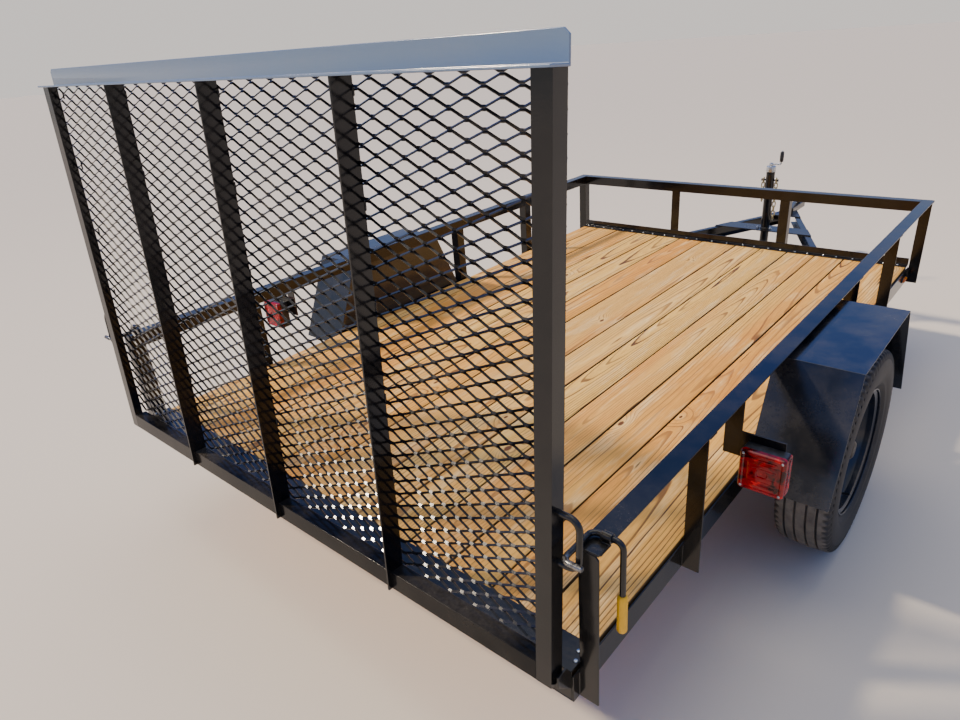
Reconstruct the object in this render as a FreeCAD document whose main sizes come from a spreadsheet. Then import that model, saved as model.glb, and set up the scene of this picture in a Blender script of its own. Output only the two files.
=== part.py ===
import FreeCAD, Part

import math
import os

import Sketcher
from FreeCAD import Placement, Rotation, Vector

# Utility trailer: one axle, timber deck, angle-iron rails, mesh ramp gate at the rear.
# Frame of the model: +X right, +Y forward to the hitch, +Z up, floor at Z = 0.
# Places along the trailer are counted from the rear face of the rear posts and shifted once,
# by origin_shift, so that the finished trailer is centred on the origin.

os.makedirs("parts", exist_ok=True)
doc = FreeCAD.newDocument("utility_trailer")
sheet = doc.addObject("Spreadsheet::Sheet", "Sizes")

# Driving dimensions: name, millimetres or degrees, what it measures
SIZES = [
    ("deck_height", 450.0, "floor to the top of the boards"),
    ("frame_width", 1910.0, "across the outer faces of the side angles"),
    ("frame_rear", 23.0, "frame's rear face behind the rear posts' rear face"),
    ("frame_front", 3025.0, "frame's front face from the rear posts' rear face"),
    ("frame_leg", 76.2, "upright leg of the side angles"),
    ("frame_foot", 50.8, "flat leg of the side angles"),
    ("steel_wall", 4.8, "thickness of every rolled angle"),
    ("frame_drop", 8.0, "side angle's top edge below the deck"),
    ("cut_past", 1.0, "how far a cut runs past the face it opens"),
    ("rear_plate", 85.0, "top leg of the rear angle, over the board ends"),
    ("retainer_leg", 38.1, "both legs of the angle over the front board ends"),
    ("cross_leg", 38.1, "flat leg of the cross angles"),
    ("cross_first", 420.0, "first cross angle from the rear posts' rear face"),
    ("cross_pitch", 525.0, "from one cross angle to the next"),
    ("board_thick", 38.0, "deck board thickness"),
    ("board_width", 139.7, "common deck board width"),
    ("wide_board", 195.0, "the one wide deck board"),
    ("board_gap", 5.0, "gap between boards"),
    ("board_side_gap", 4.0, "gap between a board and the steel round the deck"),
    ("rail_leg", 50.8, "both legs of the rail and post angles"),
    ("rail_rise", 324.0, "deck to the top of the rail"),
    ("post_clip", 9.0, "clipped outer top corner of the rear posts"),
    ("post_second", 485.0, "second side post from the rear post"),
    ("post_third", 1760.0, "third side post from the rear post"),
    ("post_fourth", 2365.0, "fourth side post from the rear post"),
    ("front_post_place", 318.0, "front posts either side of the middle"),
    ("fender_width", 241.0, "fender from the frame outward"),
    ("fender_rise", 300.0, "deck to the top of the fender"),
    ("fender_drop", 60.0, "fender's lower edge below the deck"),
    ("fender_top", 540.0, "length of the fender's flat top"),
    ("fender_base", 866.0, "length of the fender at its lower edge"),
    ("fender_wall", 3.0, "fender sheet thickness"),
    ("axle_place", 1320.0, "axle from the rear posts' rear face"),
    ("tyre_radius", 345.0, "tyre's outer radius"),
    ("tyre_width", 175.0, "tyre's section width"),
    ("bead_gap", 0.4, "gap between the tyre's bead and the rim, all round"),
    ("tyre_place", 1103.0, "middle of the tyre from the middle of the trailer"),
    ("rim_radius", 201.5, "rim's radius under the bead"),
    ("rim_wall", 5.0, "rim and disc thickness"),
    ("rim_half", 72.0, "half the rim's width over its flanges"),
    ("rim_lip", 10.0, "rim flange along the axle"),
    ("rim_lip_high", 14.0, "rim flange's height above its bead seat"),
    ("disc_offset", 10.0, "mounting disc outward of the tyre's middle"),
    ("wheel_stud", 6.0, "wheel stud radius"),
    ("stud_gap", 0.6, "gap round a wheel stud in the disc"),
    ("stud_out", 22.0, "wheel stud's end beyond the disc"),
    ("pilot_radius", 41.0, "rim's centre hole"),
    ("bolt_circle", 57.15, "radius of the wheel studs' circle"),
    ("hand_hole", 16.0, "radius of the vent holes in the disc"),
    ("hand_circle", 138.0, "radius of the vent holes' circle"),
    ("hub_radius", 38.0, "hub barrel radius"),
    ("hub_flange", 72.0, "hub flange radius"),
    ("hub_flange_wall", 9.0, "hub flange thickness"),
    ("hub_back", 56.0, "hub barrel behind its flange"),
    ("hub_nose", 52.0, "hub cap's end outward of the disc"),
    ("hub_cap_wall", 18.0, "hub cap's closed end"),
    ("hub_seat_gap", 0.0, "gap between the hub flange and the disc"),
    ("spindle_radius", 19.0, "axle spindle radius"),
    ("spindle_past", 22.0, "spindle's end outward of the disc"),
    ("spindle_sunk", 5.0, "spindle's root inside the drop arm"),
    ("spindle_fit", 0.3, "gap round the spindle in the hub"),
    ("axle_radius", 30.2, "axle tube radius"),
    ("axle_drop", 80.0, "axle tube below the wheel centre"),
    ("drop_arm", 22.0, "drop arm thickness"),
    ("drop_arm_gap", 8.0, "drop arm outward of the frame"),
    ("drop_arm_low", 18.0, "drop arm's lower edge below the axle tube's middle"),
    ("spring_place", 926.0, "middle of the springs from the middle of the trailer"),
    ("spring_width", 44.5, "leaf width"),
    ("spring_span", 640.0, "between the spring's eyes"),
    ("leaf_thick", 6.5, "thickness of one leaf"),
    ("leaf_flat", 60.0, "half the flat middle of the springs"),
    ("eye_radius", 14.0, "spring eye radius"),
    ("hanger_wall", 5.0, "spring hanger plate"),
    ("hanger_top", 30.0, "half the hanger's length at the frame"),
    ("hanger_foot", 18.0, "half the hanger's length at its lower edge"),
    ("hanger_under", 6.0, "hanger below the spring's eye"),
    ("seat_half", 55.0, "half the spring plate's length"),
    ("seat_over", 12.0, "spring plate past the spring at each side"),
    ("seat_wall", 8.0, "spring plate thickness"),
    ("saddle_bolt", 6.0, "radius of the bolts that hold the axle to the springs"),
    ("saddle_gap", 2.0, "gap between the axle tube and the bolts round it"),
    ("saddle_low", 14.0, "bolts' ends below the axle tube"),
    ("saddle_high", 18.0, "bolts' ends above the spring plate's underside"),
    ("spring_gap", 0.3, "gap between a spring and its hanger, all round"),
    ("arm_depth", 76.2, "tongue channel depth"),
    ("arm_flange", 36.0, "tongue channel flange"),
    ("arm_wall", 5.0, "tongue channel thickness"),
    ("arm_apex", 4300.0, "where the tongue arms' outer faces meet"),
    ("arm_angle", 25.0, "each tongue arm from the middle line, in degrees"),
    ("arm_rear", 2420.0, "rear end of the tongue arms"),
    ("arm_tip", 4214.0, "front end of the tongue arms"),
    ("coupler_nose", 4420.0, "front of the coupler"),
    ("coupler_plate", 6.0, "coupler plate thickness"),
    ("coupler_rear", 4050.0, "rear edge of the coupler"),
    ("coupler_ridge", 90.0, "raised part of the coupler, from its rear edge"),
    ("coupler_high", 40.0, "coupler's height"),
    ("socket_radius", 25.8, "inside of the ball socket"),
    ("socket_wall", 7.0, "socket shell thickness"),
    ("socket_deep", 34.0, "depth of the ball socket"),
    ("lever_back", 30.0, "latch lever's root behind the ball"),
    ("lever_wide", 26.0, "latch lever's width"),
    ("lever_root", 18.0, "latch lever's root, lengthwise"),
    ("lever_long", 104.0, "latch lever behind its root"),
    ("lever_rise", 34.0, "latch lever's rise"),
    ("lever_thick", 6.0, "latch lever's thickness"),
    ("jack_place", 3700.0, "jack from the rear posts' rear face"),
    ("jack_radius", 26.0, "jack's outer tube radius"),
    ("jack_wall", 3.0, "jack tube thickness"),
    ("jack_rise", 300.0, "deck to the top of the jack's tube"),
    ("jack_bottom", 215.0, "floor to the bottom of the outer tube"),
    ("leg_lap", 190.0, "inner leg's length inside the outer tube"),
    ("head_high", 22.0, "jack head's height over the tube"),
    ("head_over", 3.0, "jack head past the tube, all round"),
    ("boss_radius", 12.0, "crank boss radius"),
    ("boss_high", 10.0, "crank boss height"),
    ("crank_thick", 6.0, "crank arm thickness"),
    ("crank_wide", 20.0, "crank arm width"),
    ("crank_past", 13.0, "crank arm's ends past the boss and the handle"),
    ("crank_reach", 57.0, "crank handle from the jack's middle"),
    ("handle_radius", 8.0, "crank handle radius"),
    ("handle_high", 80.0, "crank handle height over its arm"),
    ("leg_gap", 0.6, "gap between the jack's two tubes"),
    ("foot_radius", 70.0, "jack foot radius"),
    ("foot_thick", 6.0, "jack foot plate"),
    ("jack_plate", 6.0, "jack mounting plate thickness"),
    ("jack_plate_half", 65.0, "half the jack plate's length"),
    ("gate_half", 940.0, "half the gate's width"),
    ("gate_rise", 2.0, "deck to the gate's lower edge"),
    ("gate_height", 1165.0, "gate's lower edge to the top of its cap"),
    ("gate_leg", 38.1, "legs of the end uprights and depth of the gate frame"),
    ("gate_foot", 50.8, "rear leg of the gate's lower angle"),
    ("rib_leg", 50.8, "both legs of the ribs"),
    ("cap_leg", 50.8, "both legs of the cap angle"),
    ("cap_over", 5.0, "cap angle past the end uprights"),
    ("cap_clip", 10.0, "clipped outer corners of the cap angle"),
    ("rib_lift", 4.0, "ribs' lower ends above the gate's lower edge"),
    ("gate_lean", 3.0, "latched gate leans forward, in degrees"),
    ("hinge_place", 55.0, "hinge axis behind the rear posts' rear face"),
    ("hinge_rise", 16.0, "hinge axis above the deck"),
    ("gate_back", 25.0, "gate frame's rear face behind the hinge axis"),
    ("hinge_radius", 8.0, "hinge pin radius"),
    ("hinge_fit", 0.4, "gap round the hinge pin"),
    ("lug_ear", 15.0, "hinge lug round its pin"),
    ("lug_deep", 60.0, "hinge lug below its pin"),
    ("lug_wall", 5.0, "hinge lug thickness"),
    ("lug_gap", 0.5, "gap between a hinge lug and the gate"),
    ("pin_long", 36.0, "hinge pin's length into the gate"),
    ("mesh_thick", 3.4, "expanded metal thickness"),
    ("mesh_long", 190.0, "long way of the mesh diamonds"),
    ("mesh_short", 84.5, "short way of the mesh diamonds"),
    ("mesh_strand", 10.0, "a mesh strand measured up the sheet"),
    ("mesh_inset", 3.0, "mesh sheet's side edges inside the gate's sides"),
    ("staple_bar", 7.0, "radius of the latch staple's bar"),
    ("staple_bend", 28.0, "bend radius of the staple"),
    ("staple_reach", 48.0, "staple out from the gate's side"),
    ("staple_low", 296.0, "hinge axis to the staple's lower leg"),
    ("staple_high", 112.0, "between the staple's legs"),
    ("latch_bar", 6.5, "radius of the latch rod"),
    ("latch_inset", 3.5, "latch rod's inner run outward of the frame's outer face"),
    ("latch_tail", 62.0, "latch rod's hook end behind the rear posts' rear face"),
    ("latch_turn", 46.0, "latch rod's cross run from the rear posts' rear face"),
    ("latch_reach", 72.0, "latch handle outward of the frame's outer face"),
    ("latch_hang", 128.0, "latch handle's bare length below the cross run"),
    ("latch_bend", 15.0, "bend radius of the latch rod"),
    ("latch_toe", 16.0, "hooked toe of the latch rod outward of its inner run"),
    ("grip_radius", 11.0, "dipped grip radius"),
    ("grip_length", 96.0, "dipped grip length"),
    ("sleeve_wall", 4.0, "wall of the sleeve that holds the latch rod"),
    ("sleeve_long", 16.0, "sleeve's length"),
    ("sleeve_place", 34.0, "middle of the sleeve outward of the frame's outer face"),
    ("sleeve_fit", 0.6, "gap round the latch rod in its sleeve"),
    ("lamp_size", 116.0, "tail lamp face, both ways"),
    ("lamp_depth", 50.0, "tail lamp depth with its lens"),
    ("lens_depth", 16.0, "depth of the red lens"),
    ("lamp_place", 650.0, "lamp's face from the rear posts' rear face"),
    ("lamp_inset", 62.0, "lamp's inner side outward of the frame's outer face"),
    ("lamp_rise", 98.0, "deck to the lamp's lower edge"),
    ("bracket_wall", 5.0, "lamp bracket thickness"),
    ("bracket_low", 60.0, "lamp's lower edge to the bracket's lower edge"),
    ("bracket_over", 20.0, "bracket above the lamp, and short of the lamp's outer edge"),
    ("marker_place", 2905.0, "side marker from the rear posts' rear face"),
    ("marker_length", 64.0, "side marker length"),
    ("marker_height", 24.0, "side marker height"),
    ("marker_depth", 14.0, "side marker depth"),
    ("link_length", 44.0, "safety chain link, overall"),
    ("link_width", 26.0, "safety chain link width"),
    ("link_bar", 3.5, "safety chain wire radius"),
    ("link_play", 0.3, "gap between one chain link and the next"),
    ("chain_stud", 5.0, "radius of the studs that hold the chains on the jack"),
    ("chain_clear", 1.0, "gap between the chains and the jack's tube"),
    ("stud_head", 8.5, "radius of the chain studs' heads"),
    ("stud_head_wall", 4.0, "thickness of the chain studs' heads"),
    ("stud_head_gap", 5.25, "gap between a chain's top link and its stud's head"),
    ("chain_drop", 60.0, "chain studs below the top of the jack's tube"),
]


class Size:
    """A number that remembers the formula that gave it, so features can be bound to it."""

    def __init__(self, value, text):
        self.value = float(value)
        self.text = text

    def joined(self, other, sign, swap=False):
        other = other if isinstance(other, Size) else Size(other, repr(float(other)))
        first, second = (other, self) if swap else (self, other)
        value = {
            "+": lambda a, b: a + b,
            "-": lambda a, b: a - b,
            "*": lambda a, b: a * b,
            "/": lambda a, b: a / b if b else 0.0,
        }[sign](first.value, second.value)
        return Size(value, "(%s %s %s)" % (first.text, sign, second.text))

    def __add__(self, other):
        return self.joined(other, "+")

    def __radd__(self, other):
        return self.joined(other, "+", True)

    def __sub__(self, other):
        return self.joined(other, "-")

    def __rsub__(self, other):
        return self.joined(other, "-", True)

    def __mul__(self, other):
        return self.joined(other, "*")

    def __rmul__(self, other):
        return self.joined(other, "*", True)

    def __truediv__(self, other):
        return self.joined(other, "/")

    def __neg__(self):
        return self.joined(-1.0, "*")


class Named:
    """The sheet's cells under their own names."""


size = Named()
for row, (alias, number, meaning) in enumerate(SIZES, start=1):
    sheet.set("A%d" % row, alias)
    sheet.set("B%d" % row, str(number))
    sheet.set("C%d" % row, meaning)
    sheet.setAlias("B%d" % row, alias)
    setattr(size, alias, Size(number, "Sizes." + alias))
doc.recompute()


def as_size(number):
    return number if isinstance(number, Size) else Size(number, repr(float(number)))


def sine(angle):
    return Size(math.sin(math.radians(angle.value)), "sin(%s * 1deg)" % angle.text)


def cosine(angle):
    return Size(math.cos(math.radians(angle.value)), "cos(%s * 1deg)" % angle.text)


def tangent(angle):
    return Size(math.tan(math.radians(angle.value)), "tan(%s * 1deg)" % angle.text)


def bind(thing, prop, number):
    """Set a property and tie it to the sheet."""
    number = as_size(number)
    thing.setExpression(prop, number.text)


def place(thing, across, along, up, turn=None):
    """Put a piece at its place; along is counted from the rear posts' rear face."""
    if turn is not None:
        thing.Placement = Placement(Vector(0, 0, 0), turn)
    bind(thing, "Placement.Base.x", across)
    bind(thing, "Placement.Base.y", along + origin_shift)
    bind(thing, "Placement.Base.z", up)


# Derived places, each worked out once from the sizes above
side = size.frame_width / 2
rail_top = size.deck_height + size.rail_rise
frame_low = size.deck_height - size.frame_drop - size.frame_leg
board_low = size.deck_height - size.board_thick
inner_half = side - size.steel_wall
axle_up = size.tyre_radius
hinge_up = size.deck_height + size.hinge_rise
arm_low = frame_low - size.arm_depth
# The gate's rearmost edge is its ribs' lower rear corner, turned by the lean
gate_low = size.gate_rise - size.hinge_rise
gate_front = size.gate_leg - size.gate_back
rib_back = size.rib_leg - gate_front
rib_low = gate_low + size.rib_lift
gate_rearmost = size.hinge_place + rib_back * cosine(size.gate_lean) - rib_low * sine(size.gate_lean)
origin_shift = (gate_rearmost - size.coupler_nose) / 2


def new_body(label):
    body = doc.addObject("PartDesign::Body", label)
    body.Label = label
    return body


def origin_plane(body, role):
    for feature in body.Origin.OriginFeatures:
        if feature.Role == role:
            return feature
    raise ValueError(role)


def flat_sketch(body, role, offset=None):
    """An empty sketch on one of the body's own planes, offset along the plane's normal."""
    sketch = body.newObject("Sketcher::SketchObject", body.Label + "_sketch")
    sketch.AttachmentSupport = [(origin_plane(body, role), "")]
    sketch.MapMode = "FlatFace"
    if offset is not None:
        sketch.setExpression("AttachmentOffset.Base.z", as_size(offset).text)
    return sketch


def pin_point(sketch, edge, end, across, up):
    """Hold one end of a sketch edge at two bound distances from the sketch's origin."""
    for kind, number in (("DistanceX", across), ("DistanceY", up)):
        number = as_size(number)
        index = sketch.addConstraint(Sketcher.Constraint(kind, -1, 1, edge, end, number.value))
        sketch.setExpression("Constraints[%d]" % index, number.text)


def add_outline(sketch, corners):
    """A closed outline of straight edges through corners, each held by its two sizes."""
    points = [Vector(as_size(x).value, as_size(y).value, 0) for x, y in corners]
    first = sketch.GeometryCount
    count = len(points)
    for index in range(count):
        sketch.addGeometry(Part.LineSegment(points[index], points[(index + 1) % count]))
    for index in range(count):
        following = first + (index + 1) % count
        sketch.addConstraint(Sketcher.Constraint("Coincident", first + index, 2, following, 1))
    for index, (x, y) in enumerate(corners):
        pin_point(sketch, first + index, 1, x, y)


def add_circle(sketch, across, up, radius):
    across, up, radius = as_size(across), as_size(up), as_size(radius)
    centre = Vector(across.value, up.value, 0)
    edge = sketch.addGeometry(Part.Circle(centre, Vector(0, 0, 1), radius.value))
    pin_point(sketch, edge, 3, across, up)
    index = sketch.addConstraint(Sketcher.Constraint("Radius", edge, radius.value))
    sketch.setExpression("Constraints[%d]" % index, radius.text)


def pad(body, sketch, length, both_ways=False, backward=False):
    feature = body.newObject("PartDesign::Pad", body.Label + "_pad")
    feature.Profile = sketch
    feature.SideType = "Symmetric" if both_ways else "One side"
    feature.Reversed = backward
    bind(feature, "Length", length)
    body.Tip = feature
    doc.recompute()
    return feature


def pocket(body, sketch, length, both_ways=False, backward=False):
    """Cut a sketch out of the body and make sure that something was cut."""
    before = body.Shape.Volume
    feature = body.newObject("PartDesign::Pocket", body.Label + "_pocket")
    feature.Profile = sketch
    feature.Type = "Length"
    feature.SideType = "Symmetric" if both_ways else "One side"
    feature.Reversed = backward
    bind(feature, "Length", length)
    body.Tip = feature
    doc.recompute()
    if body.Shape.Volume >= before:
        raise ValueError("the pocket in %s cuts nothing" % body.Label)
    return feature


def revolve(body, sketch, axis):
    feature = body.newObject("PartDesign::Revolution", body.Label + "_turn")
    feature.Profile = sketch
    feature.ReferenceAxis = (sketch, [axis])
    feature.Angle = 360
    body.Tip = feature
    doc.recompute()
    return feature


def grid(body, feature, across, columns, up, rows):
    """Repeat a feature in columns along X and rows along Z."""
    pattern = body.newObject("PartDesign::LinearPattern", body.Label + "_grid")
    pattern.Originals = [feature]
    pattern.Direction = (origin_plane(body, "X_Axis"), [""])
    pattern.Direction2 = (origin_plane(body, "Z_Axis"), [""])
    pattern.Mode = "Spacing"
    pattern.Mode2 = "Spacing"
    bind(pattern, "Offset", across)
    bind(pattern, "Offset2", up)
    pattern.Occurrences = columns
    pattern.Occurrences2 = rows
    body.Tip = pattern
    doc.recompute()
    return pattern


def grouped(label, members):
    """Several like pieces that one body carries, kept together under one name."""
    group = doc.addObject("Part::Compound", label)
    group.Label = label
    group.Links = members
    nodes.append(group)
    return group


def add_polygon(sketch, across, up, sides, radius, start=0.0):
    """A regular polygon: its corners lie on a circle of the given radius."""
    add_outline(sketch, [
        (across + radius * cosine(as_size(start + 360.0 * index / sides)),
         up + radius * sine(as_size(start + 360.0 * index / sides)))
        for index in range(sides)
    ])


def add_polygons_round(sketch, count, circle, sides, radius):
    """Equal polygons spaced round a circle about the sketch's origin."""
    for index in range(count):
        angle = as_size(360.0 * index / count)
        add_polygon(sketch, circle * sine(angle), circle * cosine(angle), sides, radius)


def add_bent_path(sketch, points, bend):
    """Straight runs through points along the sketch's axes, joined by quarter turns of one radius."""
    points = [(as_size(x), as_size(y)) for x, y in points]
    bend = as_size(bend)
    runs = []
    for index, (start, end) in enumerate(zip(points, points[1:])):
        steps = [b - a for a, b in zip(start, end)]
        axis = 0 if abs(steps[0].value) > abs(steps[1].value) else 1
        sign = 1 if steps[axis].value > 0 else -1
        first, last = list(start), list(end)
        if index > 0:
            first[axis] = first[axis] + bend * sign
        if index < len(points) - 2:
            last[axis] = last[axis] - bend * sign
        edge = sketch.addGeometry(Part.LineSegment(
            Vector(first[0].value, first[1].value, 0), Vector(last[0].value, last[1].value, 0)))
        pin_point(sketch, edge, 1, *first)
        pin_point(sketch, edge, 2, *last)
        runs.append((edge, first, last, axis, sign))
    for before, after, corner in zip(runs, runs[1:], points[1:]):
        enter, leave = before[2], after[1]
        centre = [0.0, 0.0]
        centre[before[3]] = enter[before[3]].value
        centre[after[3]] = leave[after[3]].value
        centre = Vector(centre[0], centre[1], 0)
        ends = [Vector(point[0].value, point[1].value, 0) - centre for point in (enter, leave)]
        left_turn = ends[0].cross(ends[1]).z > 0
        if not left_turn:
            ends.reverse()
        angles = [math.atan2(end.y, end.x) for end in ends]
        circle = Part.Circle(centre, Vector(0, 0, 1), bend.value)
        arc = sketch.addGeometry(Part.ArcOfCircle(circle, angles[0], angles[1]))
        joints = ((before[0], 2), (after[0], 1)) if left_turn else ((after[0], 1), (before[0], 2))
        for end, (edge, which) in enumerate(joints, start=1):
            sketch.addConstraint(Sketcher.Constraint("Coincident", arc, end, edge, which))
        index = sketch.addConstraint(Sketcher.Constraint("Radius", arc, bend.value))
        sketch.setExpression("Constraints[%d]" % index, bend.text)


def pipe(body, profile, spine):
    """Sweep a profile along the whole of a spine sketch."""
    doc.recompute()
    feature = body.newObject("PartDesign::AdditivePipe", body.Label + "_pipe")
    feature.Profile = profile
    feature.Spine = (spine, ["Edge%d" % (index + 1) for index in range(len(spine.Shape.Edges))])
    body.Tip = feature
    doc.recompute()
    return feature


# Corners of the sections that stand for round bar and for bolts, so that they keep few faces
NUT_SIDES = 6
BAR_SIDES = 8
HALF_SIDE = 180.0 / BAR_SIDES


nodes = []


def keep(piece):
    nodes.append(piece)
    return piece


# Rolled angles

def angle_outline(foot, leg, wall, across=1, up=1):
    """An L section with its corner at the origin; across and up give the way its legs point."""
    return [
        (0, 0),
        (foot * across, 0),
        (foot * across, wall * up),
        (wall * across, wall * up),
        (wall * across, leg * up),
        (0, leg * up),
    ]


def angle_along(label, foot, leg, wall, length, across, up):
    """An angle that runs forward from its place."""
    body = new_body(label)
    sketch = flat_sketch(body, "XZ_Plane")
    add_outline(sketch, angle_outline(foot, leg, wall, across, up))
    pad(body, sketch, length, backward=True)
    return body


def angle_across(label, foot, leg, wall, length, forward, up):
    """An angle that runs both ways across the trailer from its place."""
    body = new_body(label)
    sketch = flat_sketch(body, "YZ_Plane")
    add_outline(sketch, angle_outline(foot, leg, wall, forward, up))
    pad(body, sketch, length, both_ways=True)
    return body


def angle_upright(label, foot, leg, wall, length, across, forward):
    """An angle that stands on its place."""
    body = new_body(label)
    sketch = flat_sketch(body, "XY_Plane")
    add_outline(sketch, angle_outline(foot, leg, wall, across, forward))
    pad(body, sketch, length)
    return body


# Chassis frame

frame_length = size.frame_front + size.frame_rear
for name, way in (("frame_side_left", -1), ("frame_side_right", 1)):
    angle = angle_along(name, size.frame_foot, size.frame_leg, size.steel_wall, frame_length, -way, 1)
    place(angle, side * way, -size.frame_rear, frame_low)
    keep(angle)

cross_length = size.frame_width - size.frame_foot * 2
front = angle_across("frame_front", size.frame_foot, size.deck_height - frame_low, size.steel_wall,
                     cross_length, -1, 1)
place(front, 0, size.frame_front, frame_low)
keep(front)

rear_top = size.deck_height + size.steel_wall
rear = angle_across("frame_rear", size.rear_plate, rear_top - frame_low, size.steel_wall,
                    inner_half * 2, 1, -1)
sketch = flat_sketch(rear, "XZ_Plane")
notch_high = size.steel_wall - (rear_top - frame_low)
for way in (-1, 1):
    inner_edge = (side - size.frame_foot) * way
    add_outline(sketch, [
        (inner_edge, notch_high),
        (side * way, notch_high),
        (side * way, notch_high - size.steel_wall * 2),
        (inner_edge, notch_high - size.steel_wall * 2),
    ])
pocket(rear, sketch, size.steel_wall * 4, both_ways=True)
place(rear, 0, -size.frame_rear, rear_top)
keep(rear)

retainer = angle_across("board_retainer", size.retainer_leg, size.retainer_leg, size.steel_wall,
                        inner_half * 2, -1, 1)
place(retainer, 0, size.frame_front, size.deck_height)
keep(retainer)

cross_angles = []
CROSS_COUNT = 5
for index in range(CROSS_COUNT):
    cross = angle_across("cross_angle_%d" % (index + 1), size.cross_leg, board_low - frame_low,
                         size.steel_wall, cross_length, 1, 1)
    place(cross, 0, size.cross_first + size.cross_pitch * index, frame_low)
    cross_angles.append(cross)
grouped("frame_crossmembers", cross_angles)

# Deck boards, from the right: six common boards, the wide one, five common, one ripped to fit

board_length = frame_length - size.steel_wall * 2 - size.board_side_gap * 2
BOARDS_RIGHT_OF_WIDE = 6
BOARDS_LEFT_OF_WIDE = 5
deck_right = inner_half - size.board_side_gap
widths = [size.board_width] * BOARDS_RIGHT_OF_WIDE + [size.wide_board]
widths += [size.board_width] * BOARDS_LEFT_OF_WIDE
ripped = deck_right * 2
for width in widths:
    ripped = ripped - width - size.board_gap
widths.append(ripped)
boards = []
edge = deck_right
for index, width in enumerate(widths):
    board = new_body("deck_board_%d" % (index + 1))
    sketch = flat_sketch(board, "XZ_Plane")
    add_outline(sketch, [(0, 0), (-width, 0), (-width, size.board_thick), (0, size.board_thick)])
    pad(board, sketch, board_length, backward=True)
    place(board, edge, size.steel_wall + size.board_side_gap - size.frame_rear, board_low)
    boards.append(board)
    edge = edge - width - size.board_gap
grouped("deck_boards", boards)

# Rails and posts

post_high = rail_top - size.steel_wall - frame_low
for name, way in (("rail_left", -1), ("rail_right", 1)):
    rail = angle_along(name, size.rail_leg, size.rail_leg, size.steel_wall,
                       size.frame_front + size.rail_leg - size.steel_wall, way, -1)
    place(rail, inner_half * way, 0, rail_top)
    keep(rail)
rail = angle_across("rail_front", size.rail_leg, size.rail_leg, size.steel_wall, inner_half * 2, 1, -1)
place(rail, 0, size.frame_front - size.steel_wall, rail_top)
keep(rail)

post_foot = size.rail_leg - size.steel_wall
corner_post = size.frame_front - size.steel_wall
POST_PLACES = [as_size(0), size.post_second, size.post_third, size.post_fourth, corner_post]
for name, way in (("posts_left", -1), ("posts_right", 1)):
    posts = []
    for index, along in enumerate(POST_PLACES):
        post = angle_upright("%s_%d" % (name, index + 1), post_foot, size.rail_leg, size.steel_wall,
                             post_high, way, 1)
        if index == 0:
            clip = flat_sketch(post, "XZ_Plane")
            add_outline(clip, [
                (post_foot * way, post_high - size.post_clip),
                ((post_foot + size.cut_past) * way, post_high - size.post_clip),
                ((post_foot + size.cut_past) * way, post_high + size.cut_past),
                ((post_foot - size.post_clip) * way, post_high + size.cut_past),
                ((post_foot - size.post_clip) * way, post_high),
            ])
            pocket(post, clip, size.rail_leg * 4, both_ways=True)
        place(post, side * way, along, frame_low)
        posts.append(post)
    grouped(name, posts)
posts = []
for index, way in enumerate((-1, 1)):
    post = angle_upright("post_front_%d" % (index + 1), size.rail_leg, size.rail_leg - size.steel_wall,
                         size.steel_wall, post_high, -way, 1)
    place(post, (size.front_post_place + size.rail_leg / 2) * way, size.frame_front, frame_low)
    posts.append(post)
grouped("posts_front", posts)

# Fenders: a folded sheet with a closed inner wall, open below and outward

fender_height = size.fender_rise + size.fender_drop
for name, way in (("fender_left", -1), ("fender_right", 1)):
    fender = new_body(name)
    sketch = flat_sketch(fender, "YZ_Plane")
    half_base = size.fender_base / 2
    half_top = size.fender_top / 2
    add_outline(sketch, [
        (-half_base, 0),
        (half_base, 0),
        (half_top, fender_height),
        (-half_top, fender_height),
    ])
    pad(fender, sketch, size.fender_width, backward=way < 0)
    inside = flat_sketch(fender, "YZ_Plane", size.fender_wall * way)
    wall = size.fender_wall
    slope = (half_base - half_top) / fender_height
    add_outline(inside, [
        (-half_base + wall, -wall),
        (half_base - wall, -wall),
        (half_top - wall + slope * wall, fender_height - wall),
        (-half_top + wall - slope * wall, fender_height - wall),
    ])
    pocket(fender, inside, size.fender_width, backward=way > 0)
    place(fender, side * way, size.axle_place, size.deck_height - size.fender_drop)
    keep(fender)

# Axle, springs and hangers

beam_up = axle_up - size.axle_drop
spindle_root = side + size.drop_arm_gap + size.drop_arm
spindle_tip = size.tyre_place + size.disc_offset + size.spindle_past
beam = new_body("axle_beam")
sketch = flat_sketch(beam, "YZ_Plane")
add_circle(sketch, 0, 0, size.axle_radius)
pad(beam, sketch, spindle_root * 2, both_ways=True)
for way in (-1, 1):
    arm = flat_sketch(beam, "YZ_Plane", (spindle_root - size.drop_arm) * way)
    half = size.axle_radius
    add_outline(arm, [
        (-half, -size.drop_arm_low),
        (half, -size.drop_arm_low),
        (half, size.axle_drop + size.spindle_radius),
        (-half, size.axle_drop + size.spindle_radius),
    ])
    pad(beam, arm, size.drop_arm, backward=way < 0)
    stub = flat_sketch(beam, "YZ_Plane", (spindle_root - size.spindle_sunk) * way)
    add_circle(stub, 0, size.axle_drop, size.spindle_radius)
    pad(beam, stub, spindle_tip - spindle_root + size.spindle_sunk, backward=way < 0)
place(beam, 0, size.axle_place, beam_up)
keep(beam)

seat_up = beam_up + size.axle_radius
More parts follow.
